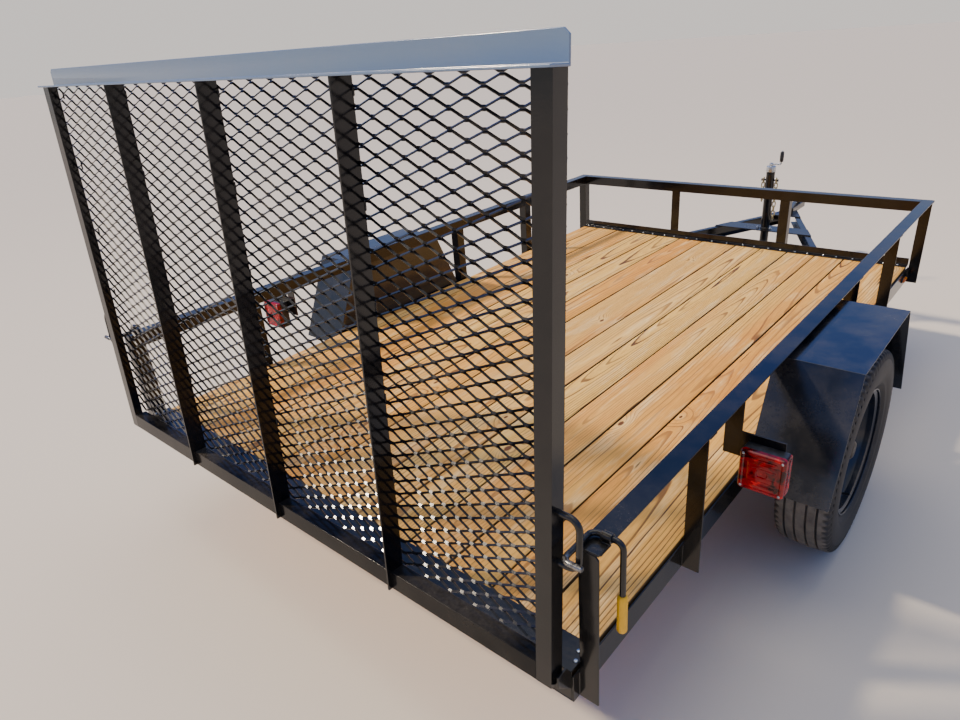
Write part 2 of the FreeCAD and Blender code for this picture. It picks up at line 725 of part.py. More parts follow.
# Each leaf's length as a share of the longest, from the top
LEAF_SHARE = [1.0, 0.72, 0.46]
springs = []
hangers = []
leaf_stack = size.leaf_thick * len(LEAF_SHARE)
eye_up = frame_low - size.hanger_wall - size.eye_radius - size.spring_gap
spring_rise = eye_up + size.eye_radius / 2 - seat_up - leaf_stack
for side_name, way in (("left", -1), ("right", 1)):
    spring = new_body("leaf_spring_" + side_name)
    sketch = flat_sketch(spring, "YZ_Plane")
    half_span = size.spring_span / 2
    thick = size.leaf_thick
    # Each leaf follows the same curve, drawn as a flat middle and two rising runs
    flat = size.leaf_flat
    outline = []
    top = leaf_stack
    outline.append((-half_span, top + spring_rise))
    outline.append((-half_span, top + spring_rise - thick))
    for level, share in enumerate(LEAF_SHARE[1:], start=1):
        reach = half_span * share
        rise = (reach - flat) / (half_span - flat) * spring_rise
        outline.append((-reach, top + rise - thick * level))
        outline.append((-reach, top + rise - thick * (level + 1)))
    outline.append((-flat, 0))
    outline += [(-x, z) for x, z in reversed(outline)]
    outline.append((flat, top))
    outline.append((-flat, top))
    add_outline(sketch, outline)
    pad(spring, sketch, size.spring_width, both_ways=True)
    eyes = flat_sketch(spring, "YZ_Plane")
    for end in (-1, 1):
        add_circle(eyes, half_span * end, top + spring_rise - size.eye_radius / 2, size.eye_radius)
    pad(spring, eyes, size.spring_width, both_ways=True)
    place(spring, size.spring_place * way, size.axle_place, seat_up)
    springs.append(spring)
    for end_name, end in (("rear", -1), ("front", 1)):
        hanger = new_body("hanger_%s_%s" % (side_name, end_name))
        sketch = flat_sketch(hanger, "YZ_Plane")
        deep = frame_low - eye_up + size.eye_radius + size.hanger_under
        add_outline(sketch, [
            (-size.hanger_top, 0),
            (size.hanger_top, 0),
            (size.hanger_foot, -deep),
            (-size.hanger_foot, -deep),
        ])
        pad(hanger, sketch, size.spring_width + size.hanger_wall * 2, both_ways=True)
        slot = flat_sketch(hanger, "YZ_Plane")
        slot_half = size.hanger_top + size.cut_past
        add_outline(slot, [
            (-slot_half, -size.hanger_wall),
            (slot_half, -size.hanger_wall),
            (slot_half, -deep - size.cut_past),
            (-slot_half, -deep - size.cut_past),
        ])
        pocket(hanger, slot, size.spring_width + size.spring_gap * 2, both_ways=True)
        place(hanger, size.spring_place * way, size.axle_place + half_span * end, frame_low)
        hangers.append(hanger)
grouped("leaf_springs", springs)
grouped("spring_hangers", hangers)

# Spring seats: a plate on each spring and a saddle under the axle, tied by four bolts
seat_pieces = []
for side_name, way in (("left", -1), ("right", 1)):
    plate = new_body("spring_plate_" + side_name)
    sketch = flat_sketch(plate, "XY_Plane")
    half_wide = size.spring_width / 2 + size.seat_over
    stud_across = size.spring_width / 2 + size.saddle_bolt + size.spring_gap
    stud_along = size.axle_radius + size.saddle_bolt + size.saddle_gap
    add_outline(sketch, [
        (-half_wide, -size.seat_half),
        (half_wide, -size.seat_half),
        (half_wide, size.seat_half),
        (-half_wide, size.seat_half),
    ])
    pad(plate, sketch, size.seat_wall)
    studs = flat_sketch(plate, "XY_Plane")
    for x_way in (-1, 1):
        for y_way in (-1, 1):
            add_polygon(studs, stud_across * x_way, stud_along * y_way, NUT_SIDES, size.saddle_bolt)
    pad(plate, studs, top + size.axle_radius * 2 + size.saddle_low, backward=True)
    pad(plate, studs, size.saddle_high)
    place(plate, size.spring_place * way, size.axle_place, seat_up + top)
    seat_pieces.append(plate)
grouped("axle_ubolts", seat_pieces)

# Tongue

arm_top = frame_low
arm_run = (size.arm_tip - size.arm_rear) / cosine(size.arm_angle)
for name, way in (("tongue_arm_left", -1), ("tongue_arm_right", 1)):
    arm = new_body(name)
    sketch = flat_sketch(arm, "XZ_Plane")
    flange = size.arm_flange * -way
    web = size.arm_wall * -way
    add_outline(sketch, [
        (0, 0),
        (flange, 0),
        (flange, size.arm_wall),
        (web, size.arm_wall),
        (web, size.arm_depth - size.arm_wall),
        (flange, size.arm_depth - size.arm_wall),
        (flange, size.arm_depth),
        (0, size.arm_depth),
    ])
    pad(arm, sketch, arm_run, backward=True)
    turn = Rotation(Vector(0, 0, way), size.arm_angle.value)
    rear_across = (size.arm_apex - size.arm_rear) * tangent(size.arm_angle)
    place(arm, rear_across * way, size.arm_rear, arm_low, turn)
    bind(arm, "Placement.Rotation.Angle", size.arm_angle)
    keep(arm)

ball_place = size.coupler_nose - size.socket_radius - size.socket_wall
coupler = new_body("coupler")
sketch = flat_sketch(coupler, "XY_Plane")
half_rear = (size.arm_apex - size.coupler_rear) * tangent(size.arm_angle)
neck = size.socket_radius + size.socket_wall
neck_rear = size.arm_apex - neck / tangent(size.arm_angle)
long_to_ball = ball_place - size.coupler_rear
add_outline(sketch, [
    (-half_rear, 0),
    (half_rear, 0),
    (neck, neck_rear - size.coupler_rear),
    (neck, long_to_ball),
    (-neck, long_to_ball),
    (-neck, neck_rear - size.coupler_rear),
])
pad(coupler, sketch, size.coupler_plate)
ridge = flat_sketch(coupler, "XY_Plane")
add_outline(ridge, [
    (-neck, size.coupler_ridge),
    (neck, size.coupler_ridge),
    (neck, long_to_ball),
    (-neck, long_to_ball),
])
pad(coupler, ridge, size.coupler_high)
nose = flat_sketch(coupler, "XY_Plane")
add_circle(nose, 0, long_to_ball, neck)
pad(coupler, nose, size.coupler_high)
bore = flat_sketch(coupler, "XY_Plane")
add_circle(bore, 0, long_to_ball, size.socket_radius)
pocket(coupler, bore, size.socket_deep, backward=True)
place(coupler, 0, size.coupler_rear, arm_top)
keep(coupler)

lever = new_body("coupler_latch")
sketch = flat_sketch(lever, "YZ_Plane")
add_outline(sketch, [
    (0, 0),
    (size.lever_root, 0),
    (size.lever_root, size.lever_thick * 2),
    (size.lever_thick * 2 - size.lever_long, size.lever_rise),
    (-size.lever_long, size.lever_rise),
    (-size.lever_long, size.lever_rise - size.lever_thick),
    (size.lever_thick * 2 - size.lever_long, size.lever_rise - size.lever_thick),
    (0, size.lever_thick),
])
pad(lever, sketch, size.lever_wide, both_ways=True)
place(lever, 0, ball_place - size.lever_back, arm_top + size.coupler_high)
keep(lever)

# Jack: plate across the arms, outer tube, crank head, inner leg with its foot

plate = new_body("jack_plate")
sketch = flat_sketch(plate, "XY_Plane")
rear_half = (size.arm_apex - size.jack_place + size.jack_plate_half) * tangent(size.arm_angle)
front_half = (size.arm_apex - size.jack_place - size.jack_plate_half) * tangent(size.arm_angle)
add_outline(sketch, [
    (-rear_half, -size.jack_plate_half),
    (rear_half, -size.jack_plate_half),
    (front_half, size.jack_plate_half),
    (-front_half, size.jack_plate_half),
])
add_circle(sketch, 0, 0, size.jack_radius)
pad(plate, sketch, size.jack_plate)
place(plate, 0, size.jack_place, arm_top)
keep(plate)

jack_top = size.deck_height + size.jack_rise
chain_up = jack_top - size.chain_drop
chain_out = size.jack_radius + size.link_width / 2 + size.chain_clear
stud_tip = chain_out + size.link_bar + size.stud_head_gap
tube = new_body("jack_tube")
sketch = flat_sketch(tube, "XY_Plane")
add_circle(sketch, 0, 0, size.jack_radius)
add_circle(sketch, 0, 0, size.jack_radius - size.jack_wall)
pad(tube, sketch, jack_top - size.jack_bottom)
for way in (-1, 1):
    stud = flat_sketch(tube, "YZ_Plane", (size.jack_radius - size.jack_wall / 2) * way)
    add_circle(stud, 0, chain_up - size.jack_bottom, size.chain_stud)
    pad(tube, stud, stud_tip - size.jack_radius + size.jack_wall, backward=way < 0)
    cap_disc = flat_sketch(tube, "YZ_Plane", stud_tip * way)
    add_circle(cap_disc, 0, chain_up - size.jack_bottom, size.stud_head)
    pad(tube, cap_disc, size.stud_head_wall, backward=way < 0)
place(tube, 0, size.jack_place, size.jack_bottom)
keep(tube)

head = new_body("jack_crank")
sketch = flat_sketch(head, "XY_Plane")
add_circle(sketch, 0, 0, size.jack_radius + size.head_over)
pad(head, sketch, size.head_high)
boss = flat_sketch(head, "XY_Plane", size.head_high)
add_circle(boss, 0, 0, size.boss_radius)
pad(head, boss, size.boss_high)
arm_up = size.head_high + size.boss_high
arm = flat_sketch(head, "XZ_Plane")
add_outline(arm, [
    (-size.crank_past, arm_up),
    (size.crank_reach + size.crank_past, arm_up),
    (size.crank_reach + size.crank_past, arm_up + size.crank_thick),
    (-size.crank_past, arm_up + size.crank_thick),
])
pad(head, arm, size.crank_wide, both_ways=True)
handle = flat_sketch(head, "XY_Plane", arm_up + size.crank_thick)
add_circle(handle, size.crank_reach, 0, size.handle_radius)
pad(head, handle, size.handle_high)
place(head, 0, size.jack_place, jack_top)
keep(head)

leg_radius = size.jack_radius - size.jack_wall - size.leg_gap
leg = new_body("jack_leg")
sketch = flat_sketch(leg, "XY_Plane")
add_circle(sketch, 0, 0, size.foot_radius)
pad(leg, sketch, size.foot_thick)
post = flat_sketch(leg, "XY_Plane", size.foot_thick)
add_circle(post, 0, 0, leg_radius)
add_circle(post, 0, 0, leg_radius - size.jack_wall)
pad(leg, post, size.jack_bottom + size.leg_lap)
place(leg, 0, size.jack_place, 0)
keep(leg)

# Wheels

HAND_HOLES = 8
HAND_SIDES = 12
STUDS = 5
lip_up = size.rim_radius + size.rim_lip_high
for side_name, way in (("left", -1), ("right", 1)):
    tyre = new_body("tyre_" + side_name)
    sketch = flat_sketch(tyre, "XZ_Plane")
    half_width = size.tyre_width / 2
    bead = size.rim_radius + size.bead_gap
    bead_half = size.rim_half - size.rim_lip - size.bead_gap
    shelf = lip_up + size.bead_gap
    add_outline(sketch, [
        (-half_width, size.tyre_radius),
        (half_width, size.tyre_radius),
        (half_width, shelf),
        (bead_half, shelf),
        (bead_half, bead),
        (-bead_half, bead),
        (-bead_half, shelf),
        (-half_width, shelf),
    ])
    revolve(tyre, sketch, "H_Axis")
    place(tyre, size.tyre_place * way, size.axle_place, axle_up)
    keep(tyre)

    rim = new_body("rim_" + side_name)
    sketch = flat_sketch(rim, "XZ_Plane")
    wall = size.rim_wall
    half = size.rim_half
    barrel_in = size.rim_radius - wall
    add_outline(sketch, [
        (-half, lip_up),
        (-half + size.rim_lip, lip_up),
        (-half + size.rim_lip, size.rim_radius),
        (half - size.rim_lip, size.rim_radius),
        (half - size.rim_lip, lip_up),
        (half, lip_up),
        (half, barrel_in),
        (-half, barrel_in),
    ])
    revolve(rim, sketch, "H_Axis")
    centre = flat_sketch(rim, "XZ_Plane")
    disc = size.disc_offset * way
    face = (size.disc_offset - wall) * way
    add_outline(centre, [
        (disc, size.pilot_radius),
        (disc, barrel_in + wall / 2),
        (face, barrel_in + wall / 2),
        (face, size.pilot_radius),
    ])
    revolve(rim, centre, "H_Axis")
    hole = flat_sketch(rim, "YZ_Plane", disc)
    add_polygons_round(hole, HAND_HOLES, size.hand_circle, HAND_SIDES, size.hand_hole)
    add_polygons_round(hole, STUDS, size.bolt_circle, NUT_SIDES, size.wheel_stud + size.stud_gap)
    pocket(rim, hole, wall * 4, both_ways=True)
    place(rim, size.tyre_place * way, size.axle_place, axle_up)
    keep(rim)

    hub = new_body("hub_" + side_name)
    sketch = flat_sketch(hub, "XZ_Plane")
    bore = size.spindle_radius + size.spindle_fit
    seat = face - size.hub_seat_gap * way
    flange_back = seat - size.hub_flange_wall * way
    back = flange_back - size.hub_back * way
    nose = (size.disc_offset + size.hub_nose) * way
    add_outline(sketch, [
        (back, bore),
        (back, size.hub_radius),
        (flange_back, size.hub_radius),
        (flange_back, size.hub_flange),
        (seat, size.hub_flange),
        (seat, size.hub_radius),
        (nose, size.hub_radius),
        (nose, 0),
        (nose - size.hub_cap_wall * way, 0),
        (nose - size.hub_cap_wall * way, bore),
    ])
    revolve(hub, sketch, "H_Axis")
    studs = flat_sketch(hub, "YZ_Plane", seat)
    add_polygons_round(studs, STUDS, size.bolt_circle, NUT_SIDES, size.wheel_stud)
    pad(hub, studs, wall + size.stud_out, backward=way < 0)
    place(hub, size.tyre_place * way, size.axle_place, axle_up)
    keep(hub)

# Lamps

lamp_across = side + size.lamp_inset
lamps = []
lenses = []
brackets = []
lamp_up = size.deck_height + size.lamp_rise
rail_under = rail_top - size.steel_wall
for side_name, way in (("left", -1), ("right", 1)):
    lamp = new_body("tail_lamp_" + side_name)
    sketch = flat_sketch(lamp, "XZ_Plane")
    add_outline(sketch, [
        (0, 0),
        (size.lamp_size * way, 0),
        (size.lamp_size * way, size.lamp_size),
        (0, size.lamp_size),
    ])
    pad(lamp, sketch, size.lamp_depth - size.lens_depth, backward=True)
    place(lamp, lamp_across * way, size.lamp_place + size.lens_depth, lamp_up)
    lamps.append(lamp)
    lens = new_body("tail_lens_" + side_name)
    sketch = flat_sketch(lens, "XZ_Plane")
    add_outline(sketch, [
        (0, 0),
        (size.lamp_size * way, 0),
        (size.lamp_size * way, size.lamp_size),
        (0, size.lamp_size),
    ])
    pad(lens, sketch, size.lens_depth, backward=True)
    place(lens, lamp_across * way, size.lamp_place, lamp_up)
    lenses.append(lens)
    bracket = new_body("lamp_bracket_" + side_name)
    bracket_reach = size.lamp_inset + size.lamp_size - size.bracket_over
    sketch = flat_sketch(bracket, "XZ_Plane")
    add_outline(sketch, [
        (0, rail_under - lamp_up),
        (0, size.bracket_low),
        (bracket_reach * way, size.bracket_low),
        (bracket_reach * way, size.lamp_size + size.bracket_over),
        ((size.rail_leg - size.steel_wall) * way, size.lamp_size + size.bracket_over),
        ((size.rail_leg - size.steel_wall) * way, rail_under - lamp_up),
    ])
    pad(bracket, sketch, size.bracket_wall, backward=True)
    place(bracket, side * way, size.lamp_place + size.lamp_depth, lamp_up)
    brackets.append(bracket)
grouped("tail_lamps", lamps)
grouped("tail_lenses", lenses)
grouped("lamp_brackets", brackets)

markers = []
for side_name, way in (("left", -1), ("right", 1)):
    marker = new_body("marker_" + side_name)
    sketch = flat_sketch(marker, "YZ_Plane")
    add_outline(sketch, [
        (0, 0),
        (size.marker_length, 0),
        (size.marker_length, size.marker_height),
        (0, size.marker_height),
    ])
    pad(marker, sketch, size.marker_depth, backward=way < 0)
    place(marker, side * way, size.marker_place, frame_low + size.frame_leg / 3)
    markers.append(marker)
grouped("side_markers", markers)

# Ramp gate, drawn upright about its hinge axis and leaned forward by its placement

lean = Rotation(Vector(-1, 0, 0), size.gate_lean.value)


def hang(piece, across=0, along=0, up=0):
    """Hang a piece on the hinge axis, leaned with the gate; offsets are the gate's own."""
    across, along, up = as_size(across), as_size(along), as_size(up)
    piece.Placement = Placement(Vector(0, 0, 0), lean)
    bind(piece, "Placement.Base.x", across)
    swing = cosine(size.gate_lean)
    tip = sine(size.gate_lean)
    bind(piece, "Placement.Base.y", along * swing + up * tip - size.hinge_place + origin_shift)
    bind(piece, "Placement.Base.z", up * swing - along * tip + hinge_up)
    bind(piece, "Placement.Rotation.Angle", size.gate_lean)


cap_under = gate_low + size.gate_height - size.steel_wall
gate_uprights = []
for side_name, way in (("left", -1), ("right", 1)):
    upright = angle_upright("gate_end_" + side_name, size.gate_leg, size.gate_leg, size.steel_wall,
                            cap_under - gate_low, -way, 1)
    eye = flat_sketch(upright, "YZ_Plane")
    add_circle(eye, size.gate_back, -gate_low, size.hinge_radius + size.hinge_fit)
    pocket(upright, eye, size.gate_leg, both_ways=True)
    hang(upright, size.gate_half * way, -size.gate_back, gate_low)
    gate_uprights.append(upright)

RIB_COUNT = 3
bay = size.gate_half * 2 / (RIB_COUNT + 1)
for index in range(RIB_COUNT):
    rib = angle_upright("gate_rib_%d" % (index + 1), size.rib_leg, size.rib_leg, size.steel_wall,
                        cap_under - gate_low - size.rib_lift, -1, -1)
    notch = flat_sketch(rib, "YZ_Plane")
    add_outline(notch, [
        (size.cut_past, -size.cut_past),
        (-size.gate_leg, -size.cut_past),
        (-size.gate_leg, size.gate_foot - size.rib_lift),
        (size.cut_past, size.gate_foot - size.rib_lift),
    ])
    pocket(rib, notch, size.rib_leg * 4, both_ways=True)
    hang(rib, bay * (index - 1), gate_front, gate_low + size.rib_lift)
    gate_uprights.append(rib)
grouped("gate_uprights", gate_uprights)

cap_length = (size.gate_half + size.cap_over) * 2
cap = angle_across("gate_cap", size.cap_leg, size.cap_leg, size.steel_wall, cap_length, -1, 1)
corner = flat_sketch(cap, "XZ_Plane")
for way in (-1, 1):
    edge = cap_length / 2 * way
    clip = size.cap_clip * way
    add_outline(corner, [
        (edge - clip, size.cap_leg),
        (edge + size.cut_past * way, size.cap_leg - size.cap_clip),
        (edge + size.cut_past * way, size.cap_leg + size.cut_past),
        (edge - clip, size.cap_leg + size.cut_past),
    ])
pocket(cap, corner, size.cap_leg * 2, both_ways=True)
hang(cap, 0, gate_front, cap_under)
keep(cap)

rail = angle_across("gate_rail", size.gate_leg, size.gate_foot, size.steel_wall,
                    (size.gate_half - size.gate_leg) * 2, 1, -1)
hang(rail, 0, -size.gate_back, gate_low + size.gate_foot)
keep(rail)

# Expanded metal: one sheet on the front of the gate, its diamonds in staggered rows. A cell holds
# one diamond and, half a cell further and higher, the one between the rows. The rows run past the
# sheet's upper and lower edges, which are sheared through the diamonds as on the real sheet.
mesh_low = gate_low + size.gate_foot - size.steel_wall
mesh_wide = (size.gate_half - size.mesh_inset) * 2
mesh_tall = cap_under + size.cap_leg / 2 - mesh_low
mesh = new_body("gate_mesh")
sketch = flat_sketch(mesh, "XZ_Plane")
add_outline(sketch, [
    (-mesh_wide / 2, 0),
    (mesh_wide / 2, 0),
    (mesh_wide / 2, mesh_tall),
    (-mesh_wide / 2, mesh_tall),
])
pad(mesh, sketch, size.mesh_thick, backward=True)
columns = int((mesh_wide / size.mesh_long).value - 0.5)
rows = int((mesh_tall / size.mesh_short).value + 1.0)
half_long = size.mesh_long / 2
half_short = size.mesh_short / 2
# A hole's half sizes: half a pitch less the strand, measured along the pitch
long_cut = half_long - size.mesh_strand * half_long / size.mesh_short
short_cut = half_short - size.mesh_strand / 2
first_across = half_long / 2 - half_long * columns
first_up = mesh_tall / 2 + half_short / 2 - half_short * rows
hole = flat_sketch(mesh, "XZ_Plane")
for across, up in ((first_across, first_up), (first_across + half_long, first_up + half_short)):
    add_outline(hole, [
        (across - long_cut, up),
        (across, up - short_cut),
        (across + long_cut, up),
        (across, up + short_cut),
    ])
cut = pocket(mesh, hole, size.mesh_thick * 3, both_ways=True)
grid(mesh, cut, size.mesh_long, columns, size.mesh_short, rows)
hang(mesh, 0, gate_front, mesh_low)
keep(mesh)

staples = []
for side_name, way in (("left", -1), ("right", 1)):
    root = size.gate_half * way
    tip = (size.gate_half + size.staple_reach) * way
    high = size.staple_high
    staple = new_body("gate_staple_" + side_name)
    spine = flat_sketch(staple, "XZ_Plane")
    add_bent_path(spine, [(root, 0), (tip, 0), (tip, high), (root, high)], size.staple_bend)
    profile = flat_sketch(staple, "YZ_Plane", root)
    add_polygon(profile, 0, 0, BAR_SIDES, size.staple_bar, HALF_SIDE)
    pipe(staple, profile, spine)
    hang(staple, 0, gate_front - size.gate_leg / 2, size.staple_low)
    staples.append(staple)
grouped("gate_staples", staples)

# Hinge: a lug on the frame at each side with a pin into the gate's end upright
pins = []
for side_name, way in (("left", -1), ("right", 1)):
    lug = new_body("hinge_pin_" + side_name)
    sketch = flat_sketch(lug, "YZ_Plane")
    ear = size.lug_ear
    back = size.hinge_place - size.frame_rear
    add_outline(sketch, [
        (back, -size.lug_deep),
        (back, rear_top - hinge_up),
        (ear, ear),
        (-ear, ear),
        (-ear, -ear),
    ])
    pad(lug, sketch, size.lug_wall, backward=way < 0)
    pin = flat_sketch(lug, "YZ_Plane", size.lug_wall * way)
    add_circle(pin, 0, 0, size.hinge_radius)
    pad(lug, pin, size.pin_long, backward=way > 0)
    place(lug, (size.gate_half + size.lug_gap + size.lug_wall) * way, -size.hinge_place, hinge_up)
    pins.append(lug)
grouped("gate_hinge_pins", pins)

# Latch rods: hooked toe, run along the rail, cross run in a sleeve, handle with a dipped grip
rods = []
grips = []
rod_up = rail_top + size.sleeve_wall + size.latch_bar
for side_name, way in (("left", -1), ("right", 1)):
    inner = (side + size.latch_inset) * way
    outward = (side + size.latch_reach) * way
    toe = inner + size.latch_toe * way
    rod = new_body("latch_rod_" + side_name)
    flat_run = flat_sketch(rod, "XY_Plane")
    half_cross = (inner + outward) / 2
    add_bent_path(flat_run, [
        (toe, -size.latch_tail),
        (inner, -size.latch_tail),
        (inner, size.latch_turn),
        (half_cross + size.latch_bar * way, size.latch_turn),
    ], size.latch_bend)
    profile = flat_sketch(rod, "YZ_Plane", toe)
    add_polygon(profile, -size.latch_tail, 0, BAR_SIDES, size.latch_bar, HALF_SIDE)
    pipe(rod, profile, flat_run)
    drop_run = flat_sketch(rod, "XZ_Plane", -size.latch_turn)
    add_bent_path(drop_run, [(half_cross, 0), (outward, 0), (outward, -size.latch_hang)], size.latch_bend)
    profile = flat_sketch(rod, "YZ_Plane", half_cross)
    add_polygon(profile, size.latch_turn, 0, BAR_SIDES, size.latch_bar, HALF_SIDE)
    pipe(rod, profile, drop_run)
    place(rod, 0, as_size(0), rod_up)
    rods.append(rod)
    sleeve = new_body("latch_sleeve_" + side_name)
    sketch = flat_sketch(sleeve, "YZ_Plane")
    add_circle(sketch, 0, 0, size.latch_bar + size.sleeve_wall)
    add_polygon(sketch, 0, 0, BAR_SIDES, size.latch_bar + size.sleeve_fit, HALF_SIDE)
    pad(sleeve, sketch, size.sleeve_long, both_ways=True)
    place(sleeve, (side + size.sleeve_place) * way, size.latch_turn, rod_up)
    rods.append(sleeve)
    grip = new_body("latch_grip_" + side_name)
    sketch = flat_sketch(grip, "XY_Plane")
    add_polygon(sketch, 0, 0, BAR_SIDES * 2, size.grip_radius)
    pad(grip, sketch, size.grip_length, backward=True)
    place(grip, outward, size.latch_turn, rod_up - size.latch_hang)
    grips.append(grip)
grouped("latch_rods", rods)
grouped("latch_grips", grips)

# Safety chains: links hooked through one another, hung from the studs on the jack's tube
links = []
# Each chain: its side's name, its way from the middle, its links
CHAINS = [("left", -1, 5), ("right", 1, 9)]
LINK_CORNERS = 6
chain_step = size.link_length - size.link_bar * 4 - size.link_play
first_link = chain_up + size.chain_stud + size.link_play + size.link_bar * 2 - size.link_length / 2


def add_rounded_loop(sketch, length, width):
    """A link's outline, upright about the sketch's origin, its ends turned in a few flats."""
    straight = (length - width) / 2
    corners = []
    for end, first_angle in ((1, 0.0), (-1, 180.0)):
        for index in range(LINK_CORNERS):
            angle = as_size(first_angle + 180.0 * index / (LINK_CORNERS - 1))
            corners.append((width / 2 * cosine(angle), width / 2 * sine(angle) + straight * end))
    add_outline(sketch, corners)


for side_name, way, count in CHAINS:
    for index in range(count):
        link = new_body("chain_link_%s_%d" % (side_name, index + 1))
        sketch = flat_sketch(link, "XZ_Plane")
        add_rounded_loop(sketch, size.link_length, size.link_width)
        add_rounded_loop(sketch, size.link_length - size.link_bar * 4, size.link_width - size.link_bar * 4)
        pad(link, sketch, size.link_bar * 2, both_ways=True)
        spin = Rotation(Vector(0, 0, 1), 90.0 * ((index + 1) % 2))
        place(link, chain_out * way, size.jack_place, first_link - chain_step * index, spin)
        links.append(link)
grouped("safety_chains", links)

# Check every object and every piece, then write one file for each piece
doc.recompute()
for item in doc.Objects:
    if "Invalid" in item.State or "Error" in item.State:
        raise ValueError("%s did not build: %s" % (item.Label, item.State))
for node in nodes:
    if node.Shape.isNull() or not node.Shape.isValid() or not node.Shape.Solids:
        raise ValueError("%s has no valid shape" % node.Label)
for node in nodes:
    node.Shape.exportStep("parts/%s.step" % node.Label)
    box = node.Shape.BoundBox
    print("%-22s %2d solids  x %7.1f %7.1f  y %8.1f %8.1f  z %7.1f %7.1f" % (
        node.Label, len(node.Shape.Solids), box.XMin, box.XMax, box.YMin, box.YMax, box.ZMin, box.ZMax))
print("pieces", len(nodes))
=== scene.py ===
# %% [markdown]
# # A utility trailer, dressed over its construction model
#
# The construction model gives every steel angle, board and wheel its place and size. This lesson adds what
# the eye needs on top: rolled edges, weld beads, wood grain, expanded metal with its twisted strands, tyre
# tread, lamp lenses and paint that mirrors the sky. Lengths are in metres, and MM turns drawing sizes into
# them.

# %% Load the construction model
import math
import random

import bmesh
import bpy
from mathutils import Matrix, Vector


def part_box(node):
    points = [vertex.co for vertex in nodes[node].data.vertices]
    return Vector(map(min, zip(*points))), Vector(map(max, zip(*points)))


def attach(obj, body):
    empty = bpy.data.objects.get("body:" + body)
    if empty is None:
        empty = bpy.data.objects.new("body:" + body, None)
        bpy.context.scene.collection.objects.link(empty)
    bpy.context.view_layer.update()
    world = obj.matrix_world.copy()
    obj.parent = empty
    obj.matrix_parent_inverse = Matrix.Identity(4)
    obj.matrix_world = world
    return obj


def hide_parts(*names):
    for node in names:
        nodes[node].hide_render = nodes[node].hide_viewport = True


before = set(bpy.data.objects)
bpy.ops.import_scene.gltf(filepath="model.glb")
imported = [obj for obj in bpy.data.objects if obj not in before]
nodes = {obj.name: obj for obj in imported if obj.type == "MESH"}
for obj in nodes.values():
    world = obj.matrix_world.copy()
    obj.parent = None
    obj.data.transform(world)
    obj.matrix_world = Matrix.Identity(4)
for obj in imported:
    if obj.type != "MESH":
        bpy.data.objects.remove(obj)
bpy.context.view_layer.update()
MM = 0.001

# %% [markdown]
# ## The camera
#
# A phone camera looks down at the rear right corner. Its place and its three axes were fitted to the
# photograph from the deck boards, rails and gate. Blender's camera looks along its own minus Z with
# Y up, so the picture's right, down and forward axes become the columns right, minus down and minus forward.

# %% Camera
RIGHT = Vector((0.75892, 0.64703, -0.07343))
DOWN = Vector((0.22879, -0.37053, -0.90020))
FORWARD = Vector((-0.60966, 0.66638, -0.42924))
CAMERA_PLACE = Vector((1.5212, -3.0123, 1.6592))
SENSOR_WIDTH = 36.0
FOCAL_LENGTH = 25.59
FARTHEST = 300.0

camera = bpy.data.objects.new("camera", bpy.data.cameras.new("camera"))
bpy.context.scene.collection.objects.link(camera)
camera.data.sensor_width = SENSOR_WIDTH
camera.data.lens = FOCAL_LENGTH
camera.data.clip_end = FARTHEST
axes = Matrix((RIGHT, -DOWN, -FORWARD)).transposed().to_4x4()
camera.matrix_world = Matrix.Translation(CAMERA_PLACE) @ axes
bpy.context.scene.camera = camera
print("camera at", tuple(round(v, 3) for v in camera.location))

# %% [markdown]
# ## Floor, room and lamps
#
# Gloss black paint is seen by what it mirrors, so the room is planned for its reflections. Low down it is
# pale, a band of clear sky blue above that is what rail and fender tops mirror as navy, and the paler zenith
# keeps shadows soft and neutral. Upright faces mirror the floor and stay nearly black. The camera itself
# sees only a plain wall in the floor's own tone. A warm key lamp shines low from the left behind the gate
# and lights the deck.

# %% Colours, shader nodes and materials
def srgb(code):
    """An sRGB hex colour as the linear colour that shaders use."""
    channels = [int(code[i:i + 2], 16) / 255 for i in (1, 3, 5)]
    linear = [c / 12.92 if c <= 0.04045 else ((c + 0.055) / 1.055) ** 2.4 for c in channels]
    return (*linear, 1.0)


def add(tree, kind, values=(), stops=(), **settings):
    """Add one shader node and give back its outputs.

    values set or link its inputs, by name or in their order, and may be hex colours. stops fill its ramp:
    a place, then a hex colour or a grey level. settings are the node's own options."""
    node = tree.nodes.new("ShaderNode" + kind)
    for key, value in settings.items():
        setattr(node, key, value)
    for key, value in values.items() if isinstance(values, dict) else enumerate(values):
        if isinstance(value, bpy.types.NodeSocket):
            tree.links.new(value, node.inputs[key])
        else:
            node.inputs[key].default_value = srgb(value) if isinstance(value, str) else value
    for index, (place, tone) in enumerate(stops):
        if index > 1:
            node.color_ramp.elements.new(place)
        stop = node.color_ramp.elements[index]
        stop.position = place
        stop.color = srgb(tone) if isinstance(tone, str) else (tone, tone, tone, 1.0)
    return node.outputs


def material(name, surface, *facts):
    """A new material. surface(tree, *facts) adds its pattern and gives the values of its shader, and Relief
    for layers of bumps over one another: each a height, its strength and its real depth."""
    made = bpy.data.materials.new(name)
    made.use_nodes = True
    tree = made.node_tree
    tree.nodes.clear()
    values = surface(tree, *facts)
    for height, strength, depth in values.pop("Relief", ()):
        under = {"Normal": values["Normal"]} if "Normal" in values else {}
        values["Normal"] = add(tree, "Bump", {
            "Height": height, "Strength": strength, "Distance": depth, **under})["Normal"]
    add(tree, "OutputMaterial", {"Surface": add(tree, "BsdfPrincipled", values)["BSDF"]})
    return made


# %% Floor
def floor_paint(tree):
    """Matt paint in one pale sand tone."""
    return {"Base Color": "#d9cdbb", "Roughness": 0.9}


